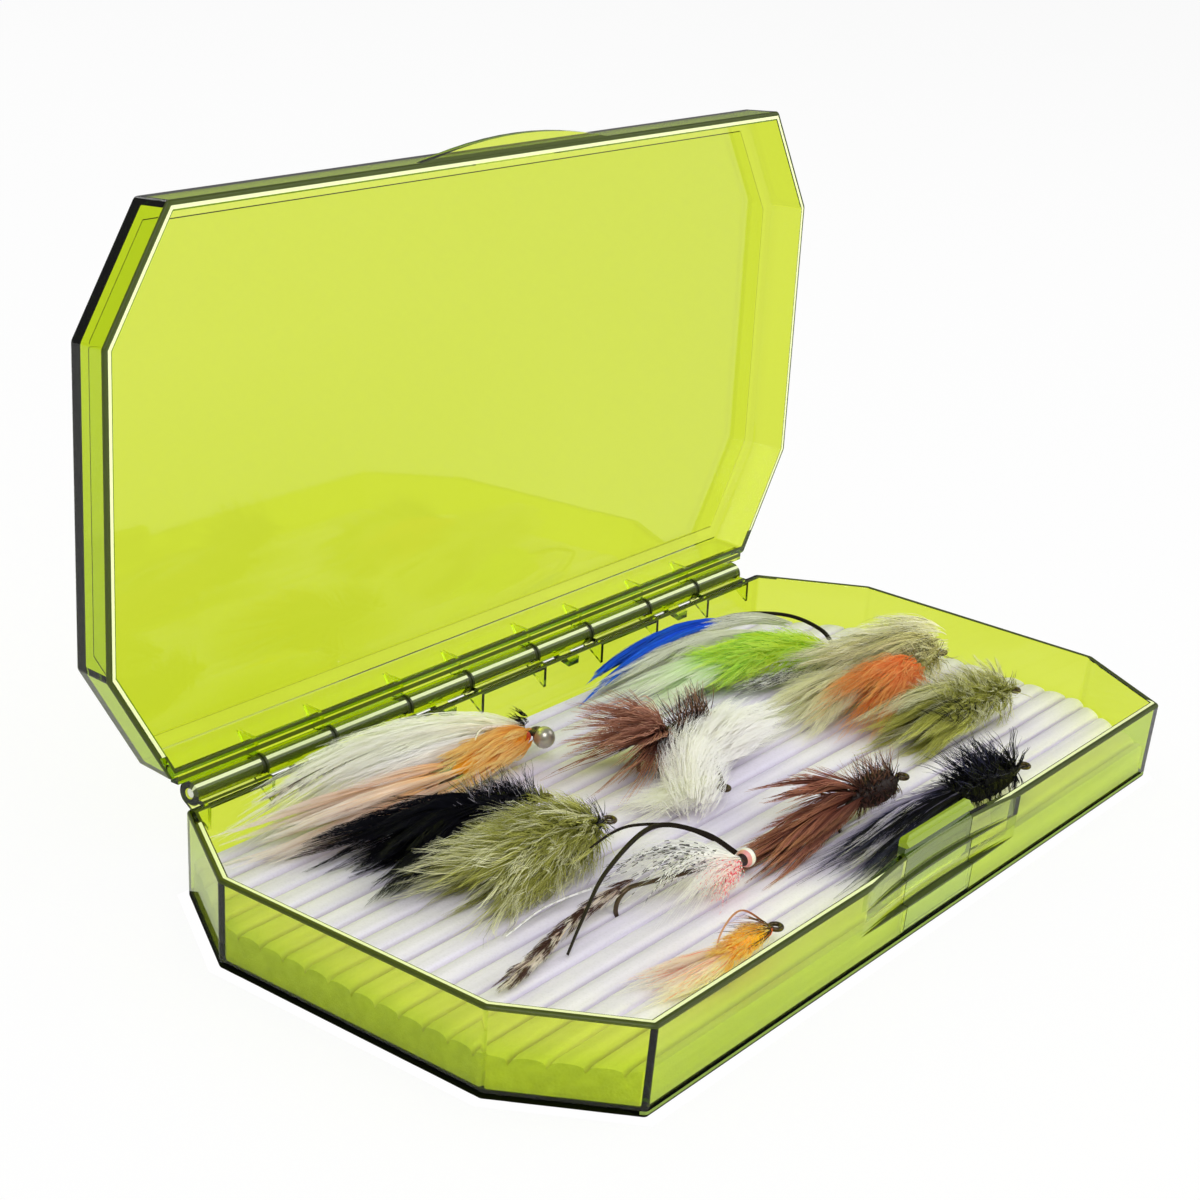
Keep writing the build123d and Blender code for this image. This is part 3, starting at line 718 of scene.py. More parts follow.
def fibre_mesh(material, spine, sizes):
    """One bunch of fibres along a spine, as a plain mesh. Lengths are in millimetres."""
    data = bpy.data.meshes.new("spine")
    points = [Vector(p) * MM for p in spine]
    data.from_pydata(points, [(i, i + 1) for i in range(len(points) - 1)], [])
    holder = add_object("spine", data)
    modifier = holder.modifiers.new("fibres", "NODES")
    modifier.node_group = FIBRE_TREE
    modifier[FIBRE_IDS["Material"]] = material
    for label, value in sizes.items():
        kind = FIBRE_INPUTS[label][0]
        if kind == LENGTH:
            modifier[FIBRE_IDS[label]] = value * MM
        else:
            modifier[FIBRE_IDS[label]] = int(value) if kind == COUNT else float(value)
    evaluated = holder.evaluated_get(bpy.context.evaluated_depsgraph_get())
    made = bpy.data.meshes.new_from_object(evaluated)
    bpy.data.objects.remove(holder)
    return made


def dressed(name, nodes, bunches):
    """A piece of dressing: one or more bunches of fibres, joined in one mesh."""
    mesh = bmesh.new()
    materials = []
    for material, spine, sizes in bunches:
        bunch = fibre_mesh(material, spine, sizes)
        if material not in materials:
            materials.append(material)
        before = len(mesh.faces)
        mesh.from_mesh(bunch)
        mesh.faces.ensure_lookup_table()
        index = materials.index(material)
        for face in mesh.faces[before:]:
            face.material_index = index
        bpy.data.meshes.remove(bunch)
    data = bpy.data.meshes.new(name)
    mesh.to_mesh(data)
    mesh.free()
    for material in materials:
        data.materials.append(material)
    return settle(add_object(name, data), "tray", nodes)


BACKWARD = 0.44        # how much more a solid strand throws light back than onward


def strand(graph, seen):
    """What one strand's colour must be for a dense bunch of it to look the colour given:
    light is lost at each of the many strands that it meets on its way out again."""
    white = (1.0, 1.0, 1.0)
    share = graph.vector("DIVIDE", graph.vector("SUBTRACT", white, seen),
                         graph.vector("ADD", white, seen))
    dense = graph.vector("SUBTRACT", white, graph.vector("MULTIPLY", share, share))
    return graph.vector("DIVIDE", dense,
                        graph.vector("SUBTRACT", (1.0 + BACKWARD,) * 3,
                                     graph.scaled(dense, BACKWARD)))


def hair(name, root, tip, spread=0.35, dark=(0, 0, 0), dark_share=0.0, bars=0.0, run_bars=0.0,
         bar_from=0.8, gloss=0.55, shine=0.5):
    """Dyed fibre: its colour runs from root to tip, varies from fibre to fibre and from wisp
    to wisp, and may be crossed by bars or have a share of fibres in a second, darker colour."""
    material, graph, shader = new_material(name, Roughness=gloss, Specular_IOR_Level=shine)

    def read(label):
        return graph.add("ShaderNodeAttribute", attribute_name=label).outputs["Fac"]

    along, tone, wisp = read("along"), read("tone"), read("wisp")
    colour = graph.colours(along, rgb(*root), rgb(*tip))
    light = graph.times(graph.remap(tone, 0.0, 1.0, 1.0 - spread, 1.0),
                        graph.remap(wisp, 0.0, 1.0, 1.0 - spread, 1.0))
    colour = graph.colours(1.0, colour, light, "MULTIPLY")
    if dark_share:
        pick = graph.math("LESS_THAN", tone, dark_share)
        colour = graph.colours(pick, colour, rgb(*dark))
    for bands, place in ((bars, along), (run_bars, read("run"))):
        if bands:
            wave = graph.math("SINE",
                              graph.plus(graph.times(place, bands), graph.times(wisp, 7.0)))
            wave = graph.plus(wave, graph.times(tone, 0.9))
            colour = graph.colours(graph.remap(wave, bar_from - 0.1, bar_from + 0.1), colour,
                                   rgb(*dark))
    graph.feed(shader.inputs["Base Color"], strand(graph, colour))
    return material


# ---- flies -------------------------------------------------------------------------------
def sized(recipe, **changes):
    """A recipe with some inputs set anew: tip_width=8 sets its Tip Width."""
    return {**recipe, **{label.replace("_", " ").title(): value
                         for label, value in changes.items()}}


PLUME = sized({}, fibres=1500, wisps=70, start_high=0.3, reach_low=0.45, reach_high=0.9,
              root_width=1.4, root_height=1.1, tip_width=6, tip_height=3, sway=2.4, wisp=0.8,
              uneven=0.35)
SLEEK = sized({}, fibres=1300, wisps=55, start_high=0.12, reach_low=0.6, reach_high=1.0,
              root_width=0.8, root_height=0.7, tip_width=3.5, tip_height=2.2, sway=1.4,
              frizz=0.3, wisp=0.6)
FLUFF = sized({}, fibres=2200, wisps=700, start_low=0.0, start_high=0.9, reach_low=0.35,
              reach_high=0.9, root_width=1.0, root_height=1.0, tip_width=8, tip_height=6,
              angle_low=-0.1, angle_high=0.6, ease=0.75, hollow=0.25, wisp=0.4, sway=1.8,
              frizz=1.0, waves=2.2, thick=0.1)
HACKLE = sized({}, fibres=260, wisps=260, steps=6, start_low=0.02, start_high=0.95,
               reach_low=0.12, reach_high=0.32, uneven=0.3, angle_low=-0.04, angle_high=0.54,
               ease=0.8, hollow=0.8, root_width=0.8, root_height=0.8, tip_width=4.5,
               tip_height=5.5, wisp=0.0, sway=0.9, frizz=0.6, thick=0.15)
SPIKES = sized(HACKLE, fibres=80, tip_width=4.5, tip_height=9.0, ease=1.0, angle_low=0.08,
               angle_high=0.42, reach_high=0.45, thick=0.2, hollow=0.7, sway=1.6)
STRANDS = sized({}, fibres=3, wisps=3, steps=16, start_high=0.0, reach_low=0.9, uneven=0.1,
                root_width=0.2, root_height=0.2, tip_width=0.6, tip_height=0.5, wisp=0.0,
                sway=0.6, frizz=0.1, thick=0.32, taper=0.3)
QUILL = sized({}, fibres=1, wisps=1, steps=40, start_high=0.0, reach_low=1.0, uneven=0.0,
              root_width=0.0, root_height=0.0, tip_width=0.0, tip_height=0.0, wisp=0.0,
              sway=0.0, frizz=0.0, thick=1.2, taper=0.5)
FEATHER = sized({}, fibres=700, wisps=110, start_high=0.75, reach_low=0.10, reach_high=0.26,
                tip_width=1.7, tip_height=0.5, root_width=0.3, root_height=0.2, hollow=0.9,
                sway=0.5, wisp=0.3, thick=0.14)
HEAD = sized({}, fibres=1, steps=3, reach_low=0.05, reach_high=0.06, tip_width=0.1,
             tip_height=0.1, sway=0.0, frizz=0.0, core=0.85, turns=7)
HEAD_STEPS = (0.2, 1.8, 3.6)      # millimetres back from the hook's eye


def thread_head(material, eye, towards, size=0.85):
    """The wound head of a fly, from its hook's eye a few millimetres back."""
    eye, towards = Vector(eye), Vector(towards)
    back = (towards - eye).normalized()
    points = [tuple(eye + back * step) for step in HEAD_STEPS]
    return material, points, sized(HEAD, core=size)


def make_dyes():
    """Each dyed fibre's material, by name; the lilac strands are painted sheen, and the
    grey-black fibre's pale tips are partly painted highlight.
    """
    thread = (0.012, 0.010, 0.010)
    return {
        "black": hair("black_marabou_fibre", (0.002, 0.002, 0.004), (0.006, 0.006, 0.011), 0.5,
                      shine=0.25),
        "blue_black": hair("blue_black_fibre", (0.003, 0.004, 0.012), (0.05, 0.05, 0.12), 0.7,
                           shine=0.3),
        # lilac strands that paint the sheen on black marabou
        "lilac": hair("painted_sheen_lilac_fibre", (0.02, 0.02, 0.05), (0.62, 0.56, 0.78), 0.4),
        # black hackle fibre whose pale tips are partly its own grey and partly painted highlight
        "grey_black": hair("grey_black_highlight_fibre", (0.03, 0.03, 0.04), (0.50, 0.46, 0.56), 0.4,
                           (0.003, 0.003, 0.005), 0.55),
        "olive": hair("olive_marabou_fibre", (0.19, 0.20, 0.014), (0.50, 0.50, 0.11), 0.6),
        "pale_olive": hair("pale_olive_fibre", (0.56, 0.55, 0.15), (0.88, 0.86, 0.52), 0.45,
                           (0.03, 0.03, 0.01), 0.06),
        "rust": hair("rust_fibre", (0.13, 0.030, 0.014), (0.56, 0.24, 0.16), 0.6),
        "rust_tail": hair("rust_marabou_fibre", (0.11, 0.026, 0.014), (0.48, 0.18, 0.12), 0.6,
                          (0.03, 0.010, 0.006), 0.12),
        "dark_brown": hair("dark_brown_fibre", (0.016, 0.007, 0.005), (0.08, 0.03, 0.02), 0.5),
        "brown_black": hair("brown_hackle_fibre", (0.05, 0.018, 0.010), (0.32, 0.15, 0.10), 0.5,
                            (0.008, 0.005, 0.005), 0.45),
        "orange": hair("orange_hair", (0.98, 0.28, 0.015), (0.99, 0.60, 0.20), 0.35, gloss=0.4),
        "hot_orange": hair("hot_orange_hair", (0.97, 0.13, 0.015), (0.98, 0.36, 0.12), 0.35),
        "pale_orange": hair("pale_orange_hair", (0.95, 0.42, 0.14), (0.95, 0.82, 0.76), 0.35,
                            gloss=0.4),
        "pink": hair("pale_pink_hair", (0.95, 0.52, 0.32), (0.95, 0.80, 0.74), 0.2,
                     (0.85, 0.12, 0.06), 0.08),
        "cream": hair("cream_hair", (0.84, 0.80, 0.72), (0.90, 0.88, 0.85), 0.15),
        "white_green": hair("white_green_hair", (0.92, 0.96, 0.60), (0.96, 0.96, 0.84), 0.25),
        "mesh_white": hair("clear_white_fibre", (0.94, 0.94, 0.93), (0.95, 0.95, 0.95), 0.05),
        "speckled": hair("speckled_fibre", (0.94, 0.93, 0.91), (0.94, 0.93, 0.92), 0.05,
                         (0.012, 0.010, 0.010), bars=30.0),
        "red_speckled": hair("red_speckled_fibre", (0.94, 0.70, 0.68), (0.95, 0.80, 0.78), 0.1,
                             (0.62, 0.02, 0.05), bars=30.0),
        "grizzly": hair("grizzly_barbs", (0.46, 0.32, 0.25), (0.80, 0.70, 0.62), 0.3,
                        (0.035, 0.014, 0.010), run_bars=24.0, bar_from=0.25),
        "tan": hair("tan_mottled_hair", (0.50, 0.45, 0.12), (0.80, 0.74, 0.36), 0.45,
                    (0.06, 0.05, 0.02), 0.2),
        "pale_tan": hair("pale_tan_hair", (0.76, 0.71, 0.30), (0.92, 0.88, 0.60), 0.35,
                         (0.10, 0.10, 0.05), 0.04),
        "green": hair("green_hair", (0.78, 0.95, 0.02), (0.50, 0.96, 0.10), 0.4,
                      (0.06, 0.20, 0.005), 0.08),
        "pale_green": hair("pale_green_hair", (0.40, 0.86, 0.12), (0.88, 0.92, 0.78), 0.25),
        "grey_olive": hair("grey_olive_hair", (0.66, 0.68, 0.46), (0.88, 0.89, 0.80), 0.35,
                           (0.06, 0.07, 0.03), 0.06),
        "blue": hair("blue_hair", (0.004, 0.05, 0.62), (0.015, 0.12, 0.80), 0.5),
        "quill": hair("dark_quill", (0.006, 0.004, 0.003), (0.010, 0.008, 0.007), 0.2, gloss=0.6,
                      shine=0.1),
        "flash": hair("pearl_flash", (0.95, 0.96, 0.93), (0.97, 0.98, 0.96), 0.1,
                      (0.45, 0.45, 0.42), bars=60.0, gloss=0.15),
        "thread": hair("waxed_thread", thread, thread, 0.5, gloss=0.3),
        "orange_thread": hair("orange_thread", (0.55, 0.05, 0.01), (0.55, 0.05, 0.01), 0.3,
                              gloss=0.3),
    }


def make_scud(dye):
    """Orange dubbing under a rust shellback, with a pink tail."""
    eye = (-41, -39.8, 11)
    dressed("scud_fly_dressing", ["scud_fly_body"], [
        (dye["orange"], [(-42.5, -39.7, 11.2), (-48, -39.6, 11.6), (-55, -39.5, 10.8)],
         sized(HACKLE, fibres=520, tip_width=3.0, tip_height=2.8, reach_low=0.3, reach_high=0.6,
               core=2.1, turns=8, thick=0.13)),
        (dye["brown_black"], [(-41.6, -39.8, 11.4), (-47, -39.4, 12), (-54, -37.5, 12)],
         sized(HACKLE, fibres=26, tip_width=3.4, tip_height=4.0, start_high=0.15, reach_low=0.4,
               reach_high=0.9, thick=0.2, seed=3)),
        (dye["rust"], [(-42.5, -39, 12.5), (-47, -37, 15.6), (-53, -37.4, 13.5),
                       (-56.5, -39.3, 9.0)], sized(QUILL, thick=0.5, taper=0.1)),
        thread_head(dye["orange_thread"], eye, (-54, -39.5, 11), 0.9)])
    dressed("scud_fly_plume", ["scud_fly_tail"], [
        (dye["pink"], [(-52, -39.3, 11.4), (-62, -37, 10), (-71, -34, 9)],
         sized(PLUME, fibres=800, wisps=60, tip_width=4.6, tip_height=1.4, sway=1.2,
               thick=0.12, seed=5))])


def make_black_bugger(dye):
    """Black palmered hackle and a tail of black and blue-black plumes, with lilac strands as
    painted sheen.
    """
    eye, root = (46, -39.5, 12), (24, -36.5, 12)
    dressed("black_bugger_dressing", ["black_bugger_body"], [
        (dye["black"], [(44.8, -39.3, 12), (35, -38, 12.4), (23, -36.4, 12)],
         sized(HACKLE, fibres=900, tip_width=4.8, tip_height=5.2, core=3.4, turns=12,
               reach_low=0.06, reach_high=0.3, thick=0.2, angle_low=-0.1, angle_high=0.6)),
        (dye["black"], [(45.5, -39.4, 12), (30, -37.4, 12)],
         sized(SPIKES, fibres=190, wisps=50, tip_width=6.5, tip_height=11.5, reach_high=0.95,
               wisp=0.5, seed=7)),
        (dye["blue_black"], [(45, -39.4, 12), (28, -37.4, 12)],
         sized(SPIKES, fibres=110, tip_width=7.5, tip_height=10.5, thick=0.16,
               reach_high=1.0, seed=8)),
        thread_head(dye["thread"], eye, root)])
    dressed("black_bugger_plume", ["black_bugger_tail"], [
        (dye["blue_black"], [(27, -36.9, 12), (8, -36.2, 11.6), (-13, -35.5, 9.6)],
         sized(PLUME, fibres=700, wisps=45, tip_width=5.4, tip_height=2.6, reach_low=0.5,
               reach_high=1.0, sway=2.2, uneven=0.5, thick=0.16, seed=9)),
        # lilac strands as painted sheen on the black plume
        (dye["lilac"], [(28, -36.6, 12.6), (10, -34.6, 12.2), (-9, -33.6, 9.8)],
         sized(PLUME, fibres=420, wisps=40, tip_width=4.6, tip_height=2.6, reach_low=0.4,
               reach_high=1.0, sway=2.0, uneven=0.4, thick=0.15, wisp=0.4, seed=19)),
        (dye["black"], [(28, -37, 12), (12, -36.2, 12), (-7, -35.8, 10.0)],
         sized(PLUME, fibres=800, wisps=32, tip_width=4.6, tip_height=2.8, sway=2.0,
               uneven=0.4, thick=0.17, seed=10))])


def make_brown_bugger(dye):
    """Dark brown hackle, a rust plume behind it and one that stands up."""
    eye, root = (24, -25.5, 12), (9, -24.5, 12)
    dressed("brown_bugger_dressing", ["brown_bugger_body"], [
        (dye["dark_brown"], [(22.8, -25.4, 12), (16, -25, 12.2), (8.5, -24.4, 12)],
         sized(HACKLE, fibres=600, tip_width=4.0, tip_height=4.2, core=3.1, turns=9,
               reach_low=0.1, reach_high=0.4, thick=0.17, angle_low=-0.1, angle_high=0.6)),
        (dye["brown_black"], [(22, -25.4, 12), (11, -24.7, 12)],
         sized(SPIKES, fibres=130, tip_height=9.5, reach_high=0.8, thick=0.18, seed=7)),
        thread_head(dye["thread"], eye, root)])
    dressed("brown_bugger_plume", ["brown_bugger_tail"], [
        (dye["rust_tail"], [(12, -24.8, 12.2), (-5, -24.0, 11.4), (-25, -24.5, 9.4)],
         sized(PLUME, fibres=900, wisps=42, tip_width=6.6, tip_height=2.8, reach_low=0.5,
               reach_high=1.0, sway=2.0, uneven=0.45, thick=0.2, wisp=0.5, hollow=0.2, seed=12)),
        (dye["rust_tail"], [(12, -24.4, 12.8), (4, -20.5, 14.6), (-8, -17.0, 14.6)],
         sized(PLUME, fibres=380, wisps=26, tip_width=5.2, tip_height=3.4, reach_low=0.5,
               reach_high=1.0, sway=1.8, uneven=0.45, thick=0.2, wisp=0.4, hollow=0.2,
               seed=13))])


def make_olive_streamer(dye):
    """Fluffed olive with pale ends, some black hackle and an olive tail."""
    eye, root = (79, -20, 12), (59, -15.5, 12)
    dressed("olive_streamer_dressing", ["olive_streamer_body"], [
        (dye["olive"], [(78, -19.8, 12), (69, -17.8, 12.6), (57, -15.3, 12)],
         sized(FLUFF, fibres=1500, tip_width=8.0, tip_height=7.5, core=2.4, turns=10,
               reach_low=0.1, reach_high=0.55, thick=0.13, seed=20)),
        (dye["pale_olive"], [(79, -20, 12), (70, -18, 12.6), (58, -15.7, 12)],
         sized(SPIKES, fibres=900, tip_width=9.0, tip_height=9.5, reach_high=0.6,
               angle_low=-0.05, angle_high=0.55, thick=0.12, hollow=0.45, seed=21)),
        (dye["black"], [(62, -21, 12), (52, -20.5, 12)],
         sized(HACKLE, fibres=90, tip_width=6.0, tip_height=6.5, angle_low=0.1,
               angle_high=0.62, reach_low=0.3, reach_high=1.1, thick=0.15, seed=22)),
        thread_head(dye["thread"], eye, root)])
    dressed("olive_streamer_plume", ["olive_streamer_tail"], [
        (dye["olive"], [(66, -16.6, 12), (53, -16, 11.6), (38, -15, 9.8)],
         sized(PLUME, fibres=1200, wisps=80, tip_width=7.5, tip_height=4.4, root_width=4,
               root_height=3.4, thick=0.13, seed=23)),
        (dye["pale_olive"], [(66, -15.4, 13), (53, -13, 13), (40, -10.5, 10.6)],
         sized(PLUME, fibres=800, wisps=80, tip_width=7.0, tip_height=4.0, root_width=4,
               root_height=3.4, thick=0.12, seed=24))])


def make_tan_streamer(dye):
    """Mottled tan fur, a pale wing and a hot orange tail."""
    eye, root = (86, 1, 12), (61, 0.5, 12)
    dressed("tan_streamer_dressing", ["tan_streamer_body"], [
        (dye["tan"], [(85, 1, 12), (74, 0.8, 12.6), (58, 0.5, 12)],
         sized(FLUFF, fibres=1700, tip_width=8.0, tip_height=7.5, core=2.2, turns=12,
               reach_low=0.12, reach_high=0.5, thick=0.13, seed=30)),
        thread_head(dye["thread"], eye, root)])
    dressed("tan_streamer_wing_hair", ["tan_streamer_wing"], [
        (dye["tan"], [(84, 3, 14.6), (67, 5.5, 15.6), (46, 8, 13.0)],
         sized(PLUME, fibres=1100, wisps=90, tip_width=7.5, tip_height=4.5, root_width=4.4,
               root_height=3.0, start_high=0.45, reach_low=0.35, reach_high=0.7, thick=0.13,
               seed=31)),
        (dye["pale_tan"], [(90, 3, 13.6), (80, 6, 15.4), (58, 10, 14)],
         sized(FLUFF, fibres=1400, tip_width=7.5, tip_height=6.0, root_width=3.4,
               root_height=3.0, reach_low=0.25, reach_high=0.6, thick=0.12, seed=32))])
    dressed("tan_streamer_plume", ["tan_streamer_tail"], [
        (dye["hot_orange"], [(69, -1.3, 14.8), (54, -2.8, 15.0), (35, -4.0, 11)],
         sized(PLUME, fibres=1500, wisps=400, tip_width=8.0, tip_height=4.6, root_width=3.6,
               root_height=2.4, reach_low=0.2, reach_high=0.75, thick=0.12, frizz=0.7,
               seed=33)),
        (dye["pale_tan"], [(62, 4, 12.6), (48, 6, 12.4), (33, 6, 9.8)],
         sized(PLUME, fibres=1300, wisps=110, tip_width=8.0, tip_height=2.8, root_width=2.6,
               root_height=2.0, thick=0.11, seed=34))])


def make_white_fly(dye):
    """A big cream fur fly, greenish at its eye."""
    dressed("white_fly_dressing", ["white_fly_body", "white_fly_tail"], [
        (dye["cream"], [(-11, -2.5, 11.2), (-2, 4, 12.6), (9, 9, 12.4), (24, 12, 10.6)],
         sized(FLUFF, fibres=2600, wisps=2400, tip_width=8.0, tip_height=4.2, start_low=-0.1,
               start_high=0.85, root_width=4.5, root_height=3.0, hollow=0.1,
               reach_low=0.15, reach_high=0.4, core=2.2, turns=6, thick=0.09, angle_low=0.0,
               angle_high=1.0, frizz=1.6, seed=41)),
        (dye["cream"], [(6, 5.3, 12.4), (20, 9, 12), (37, 12, 9.8)],
         sized(PLUME, fibres=1300, wisps=300, tip_width=7.5, tip_height=3.2, root_width=4.4,
               root_height=3.6, start_high=0.4, reach_low=0.35, reach_high=0.8, thick=0.1,
               seed=42)),
        (dye["white_green"], [(-1, -2, 11.6), (-8, 0, 11), (-14, 3, 9.5)],
         sized(FLUFF, fibres=500, tip_width=5.0, tip_height=3.0, thick=0.11, seed=43))])


def make_rust_fly(dye):
    """A slim brown body and a wide fan of rust plume."""
    eye, root = (21, 15.5, 12), (2, 16, 12)
    dressed("rust_fly_dressing", ["rust_fly_body"], [
        (dye["dark_brown"], [(19.6, 15.5, 12), (11, 15.8, 12.2), (2, 16, 12)],
         sized(HACKLE, fibres=240, tip_width=3.0, tip_height=3.0, core=1.8, turns=12,
               reach_low=0.08, reach_high=0.3)),
        (dye["brown_black"], [(21, 15.5, 12), (8, 16, 12)],
         sized(SPIKES, fibres=150, tip_width=5.5, tip_height=9.5, reach_low=0.02,
               reach_high=0.5, thick=0.18, seed=3)),
        thread_head(dye["thread"], eye, root)])
    dressed("rust_fly_fan", ["rust_fly_tail"], [
        (dye["rust"], [(7, 16.5, 12.4), (-4, 17, 12.8), (-20, 18, 11)],
         sized(PLUME, fibres=620, wisps=60, start_high=0.1, tip_width=13, tip_height=9.5,
               root_width=0.7, root_height=0.7, reach_low=0.35, reach_high=1.0, ease=0.9,
               sway=2.2, thick=0.2, wisp=0.5, angle_low=-0.08, angle_high=0.58, hollow=0.15,
               seed=51)),
        (dye["rust"], [(7, 16.5, 12.4), (0, 17.5, 14.4), (-12, 19, 14.5)],
         sized(SPIKES, fibres=150, wisps=60, start_high=0.1, tip_width=11, tip_height=9.5,
               reach_low=0.5, reach_high=1.1, thick=0.2, wisp=0.4, seed=53)),
        (dye["dark_brown"], [(7, 16, 12), (1, 15, 12.4), (-7, 13, 10.5)],
         sized(PLUME, fibres=300, wisps=60, start_high=0.15, tip_width=7, tip_height=5.0,
               root_width=1.0, root_height=1.0, sway=1.0, thick=0.19, seed=52))])


def make_olive_bugger(dye):
    """A round olive fluff with a long olive tail."""
    eye, root = (-31, 2, 12), (-50, 4.5, 12)
    dressed("olive_bugger_dressing", ["olive_bugger_body"], [
        (dye["olive"], [(-34, 2.4, 12), (-43, 3.0, 13), (-55, 3.4, 12)],
         sized(FLUFF, fibres=2600, wisps=2000, tip_width=10.5, tip_height=8.5, core=2.4,
               reach_low=0.25, reach_high=0.75, thick=0.14, seed=61)),
        (dye["pale_olive"], [(-34, 2.4, 12), (-46, 3.0, 13), (-62, 3.0, 12)],
         sized(FLUFF, fibres=900, wisps=300, tip_width=12.0, tip_height=9.0, hollow=0.6,
               reach_low=0.3, reach_high=0.8, thick=0.13, sway=2.6, seed=64)),
        (dye["grey_black"], [(-31.2, 2.1, 12), (-36, 2.7, 12)],
         sized(HACKLE, fibres=190, tip_width=5.5, tip_height=5.5, reach_low=0.3, reach_high=1.0,
               seed=62)),
        thread_head(dye["thread"], eye, root)])
    dressed("olive_bugger_plume", ["olive_bugger_tail"], [
        (dye["olive"], [(-38, 2.6, 12.4), (-55, 3.0, 12.6), (-75, 4.0, 9.8)],
         sized(PLUME, fibres=1700, wisps=260, tip_width=10.5, tip_height=4.8, root_width=3.6,
               root_height=2.6, start_high=0.35, reach_low=0.3, reach_high=0.72, ease=0.7,
               sway=2.5, wisp=0.9, thick=0.15, hollow=0.3, seed=63)),
        (dye["pale_olive"], [(-44, 3.4, 13.4), (-58, 5.6, 14.0), (-73, 8.0, 11.8)],
         sized(PLUME, fibres=380, wisps=50, tip_width=9.0, tip_height=4.0, root_width=3.6,
               root_height=2.6, reach_low=0.3, reach_high=0.8, sway=2.5, thick=0.14,
               seed=65))])


def make_black_marabou(dye):
    """Black hackle whose grey ends are partly painted highlight, and a long black plume."""
    eye, root = (-32, 15.5, 12), (-50, 22, 12)
    dressed("black_marabou_dressing", ["black_marabou_body"], [
        (dye["black"], [(-34, 16.2, 12), (-42, 19, 12.6), (-52, 22.0, 12)],
         sized(HACKLE, fibres=700, tip_width=5.0, tip_height=4.8, core=2.6, turns=10,
               reach_low=0.12, reach_high=0.5, thick=0.17, seed=71)),
        (dye["grey_black"], [(-32, 15.6, 12), (-46, 20.6, 12)],
         sized(SPIKES, fibres=240, tip_width=5.0, tip_height=8.0, reach_low=0.05,
               angle_low=0.0, angle_high=0.5, thick=0.18, seed=72)),
        (dye["olive"], [(-31.2, 15.2, 12), (-35, 16.6, 12)],
         sized(HACKLE, fibres=80, tip_width=2.4, tip_height=2.8, seed=73)),
        thread_head(dye["thread"], eye, root)])
    dressed("black_marabou_plume", ["black_marabou_tail"], [
        (dye["black"], [(-42, 19, 12.4), (-57, 21.5, 12.4), (-80, 23.0, 9.8)],
         sized(PLUME, fibres=2000, wisps=80, tip_width=11.5, tip_height=4.2, root_width=2.6,
               root_height=2.0, start_high=0.35, reach_low=0.35, reach_high=0.75, sway=2.4,
               ease=0.8, thick=0.17, hollow=0.4, seed=74))])


def make_grizzly_fly(dye):
    """Clear and speckled white fibres, a barred feather and two bent quills."""
    dressed("grizzly_fly_dressing", ["grizzly_fly_body"], [
        (dye["mesh_white"], [(-25, -22.6, 11.5), (-36, -18.5, 13), (-54, -17, 9.6)],
         sized(PLUME, fibres=360, wisps=180, start_high=0.1, tip_width=10.5, tip_height=3.5,
               root_width=0.6, root_height=0.6, thick=0.08, ease=0.8, sway=1.6, seed=81)),
        (dye["speckled"], [(-28, -21.4, 12.5), (-38, -16.5, 14), (-52, -14.5, 10.5)],
         sized(PLUME, fibres=70, wisps=60, steps=24, start_high=0.35, tip_width=6.5,
               tip_height=2.6, reach_low=0.3, reach_high=0.8, thick=0.26, seed=82)),
        (dye["red_speckled"], [(-25.5, -22.5, 11.5), (-31, -23.4, 11.5), (-39, -25.5, 9.8)],
         sized(PLUME, fibres=130, wisps=90, start_high=0.3, tip_width=3.4, tip_height=2.0,
               root_width=1.2, root_height=1.0, thick=0.15, seed=83)),
    ])
    dressed("grizzly_fly_feather", ["grizzly_fly_tail"], [
        (dye["grizzly"], [(-43, -13.6, 11), (-56, -13.6, 10.4), (-70, -15.8, 9.4),
                          (-88, -18.8, 8.6)],
         sized(FEATHER, seed=84)),
        (dye["flash"], [(-46, -12, 11), (-60, -8.5, 10), (-76, -9.5, 8.2)],
         sized(STRANDS, fibres=1, wisps=1, thick=0.5, seed=85))])
    dressed("grizzly_fly_stems", ["grizzly_fly_stem"], [
        (dye["quill"], [(-25.5, -22, 12.8), (-28.8, -17, 16), (-36, -11.4, 17.6),
                        (-50, -12.5, 14.7), (-60, -15.6, 11), (-67.5, -18.4, 8.2)],
         sized(QUILL, thick=1.5, taper=0.55)),
        (dye["quill"], [(-27.5, -18.6, 14.8), (-31, -13, 16.6), (-38, -7, 16.6),
                        (-46, -4.6, 13.6), (-50, -3.4, 11)],
         sized(QUILL, steps=30, thick=1.1, taper=0.6))])


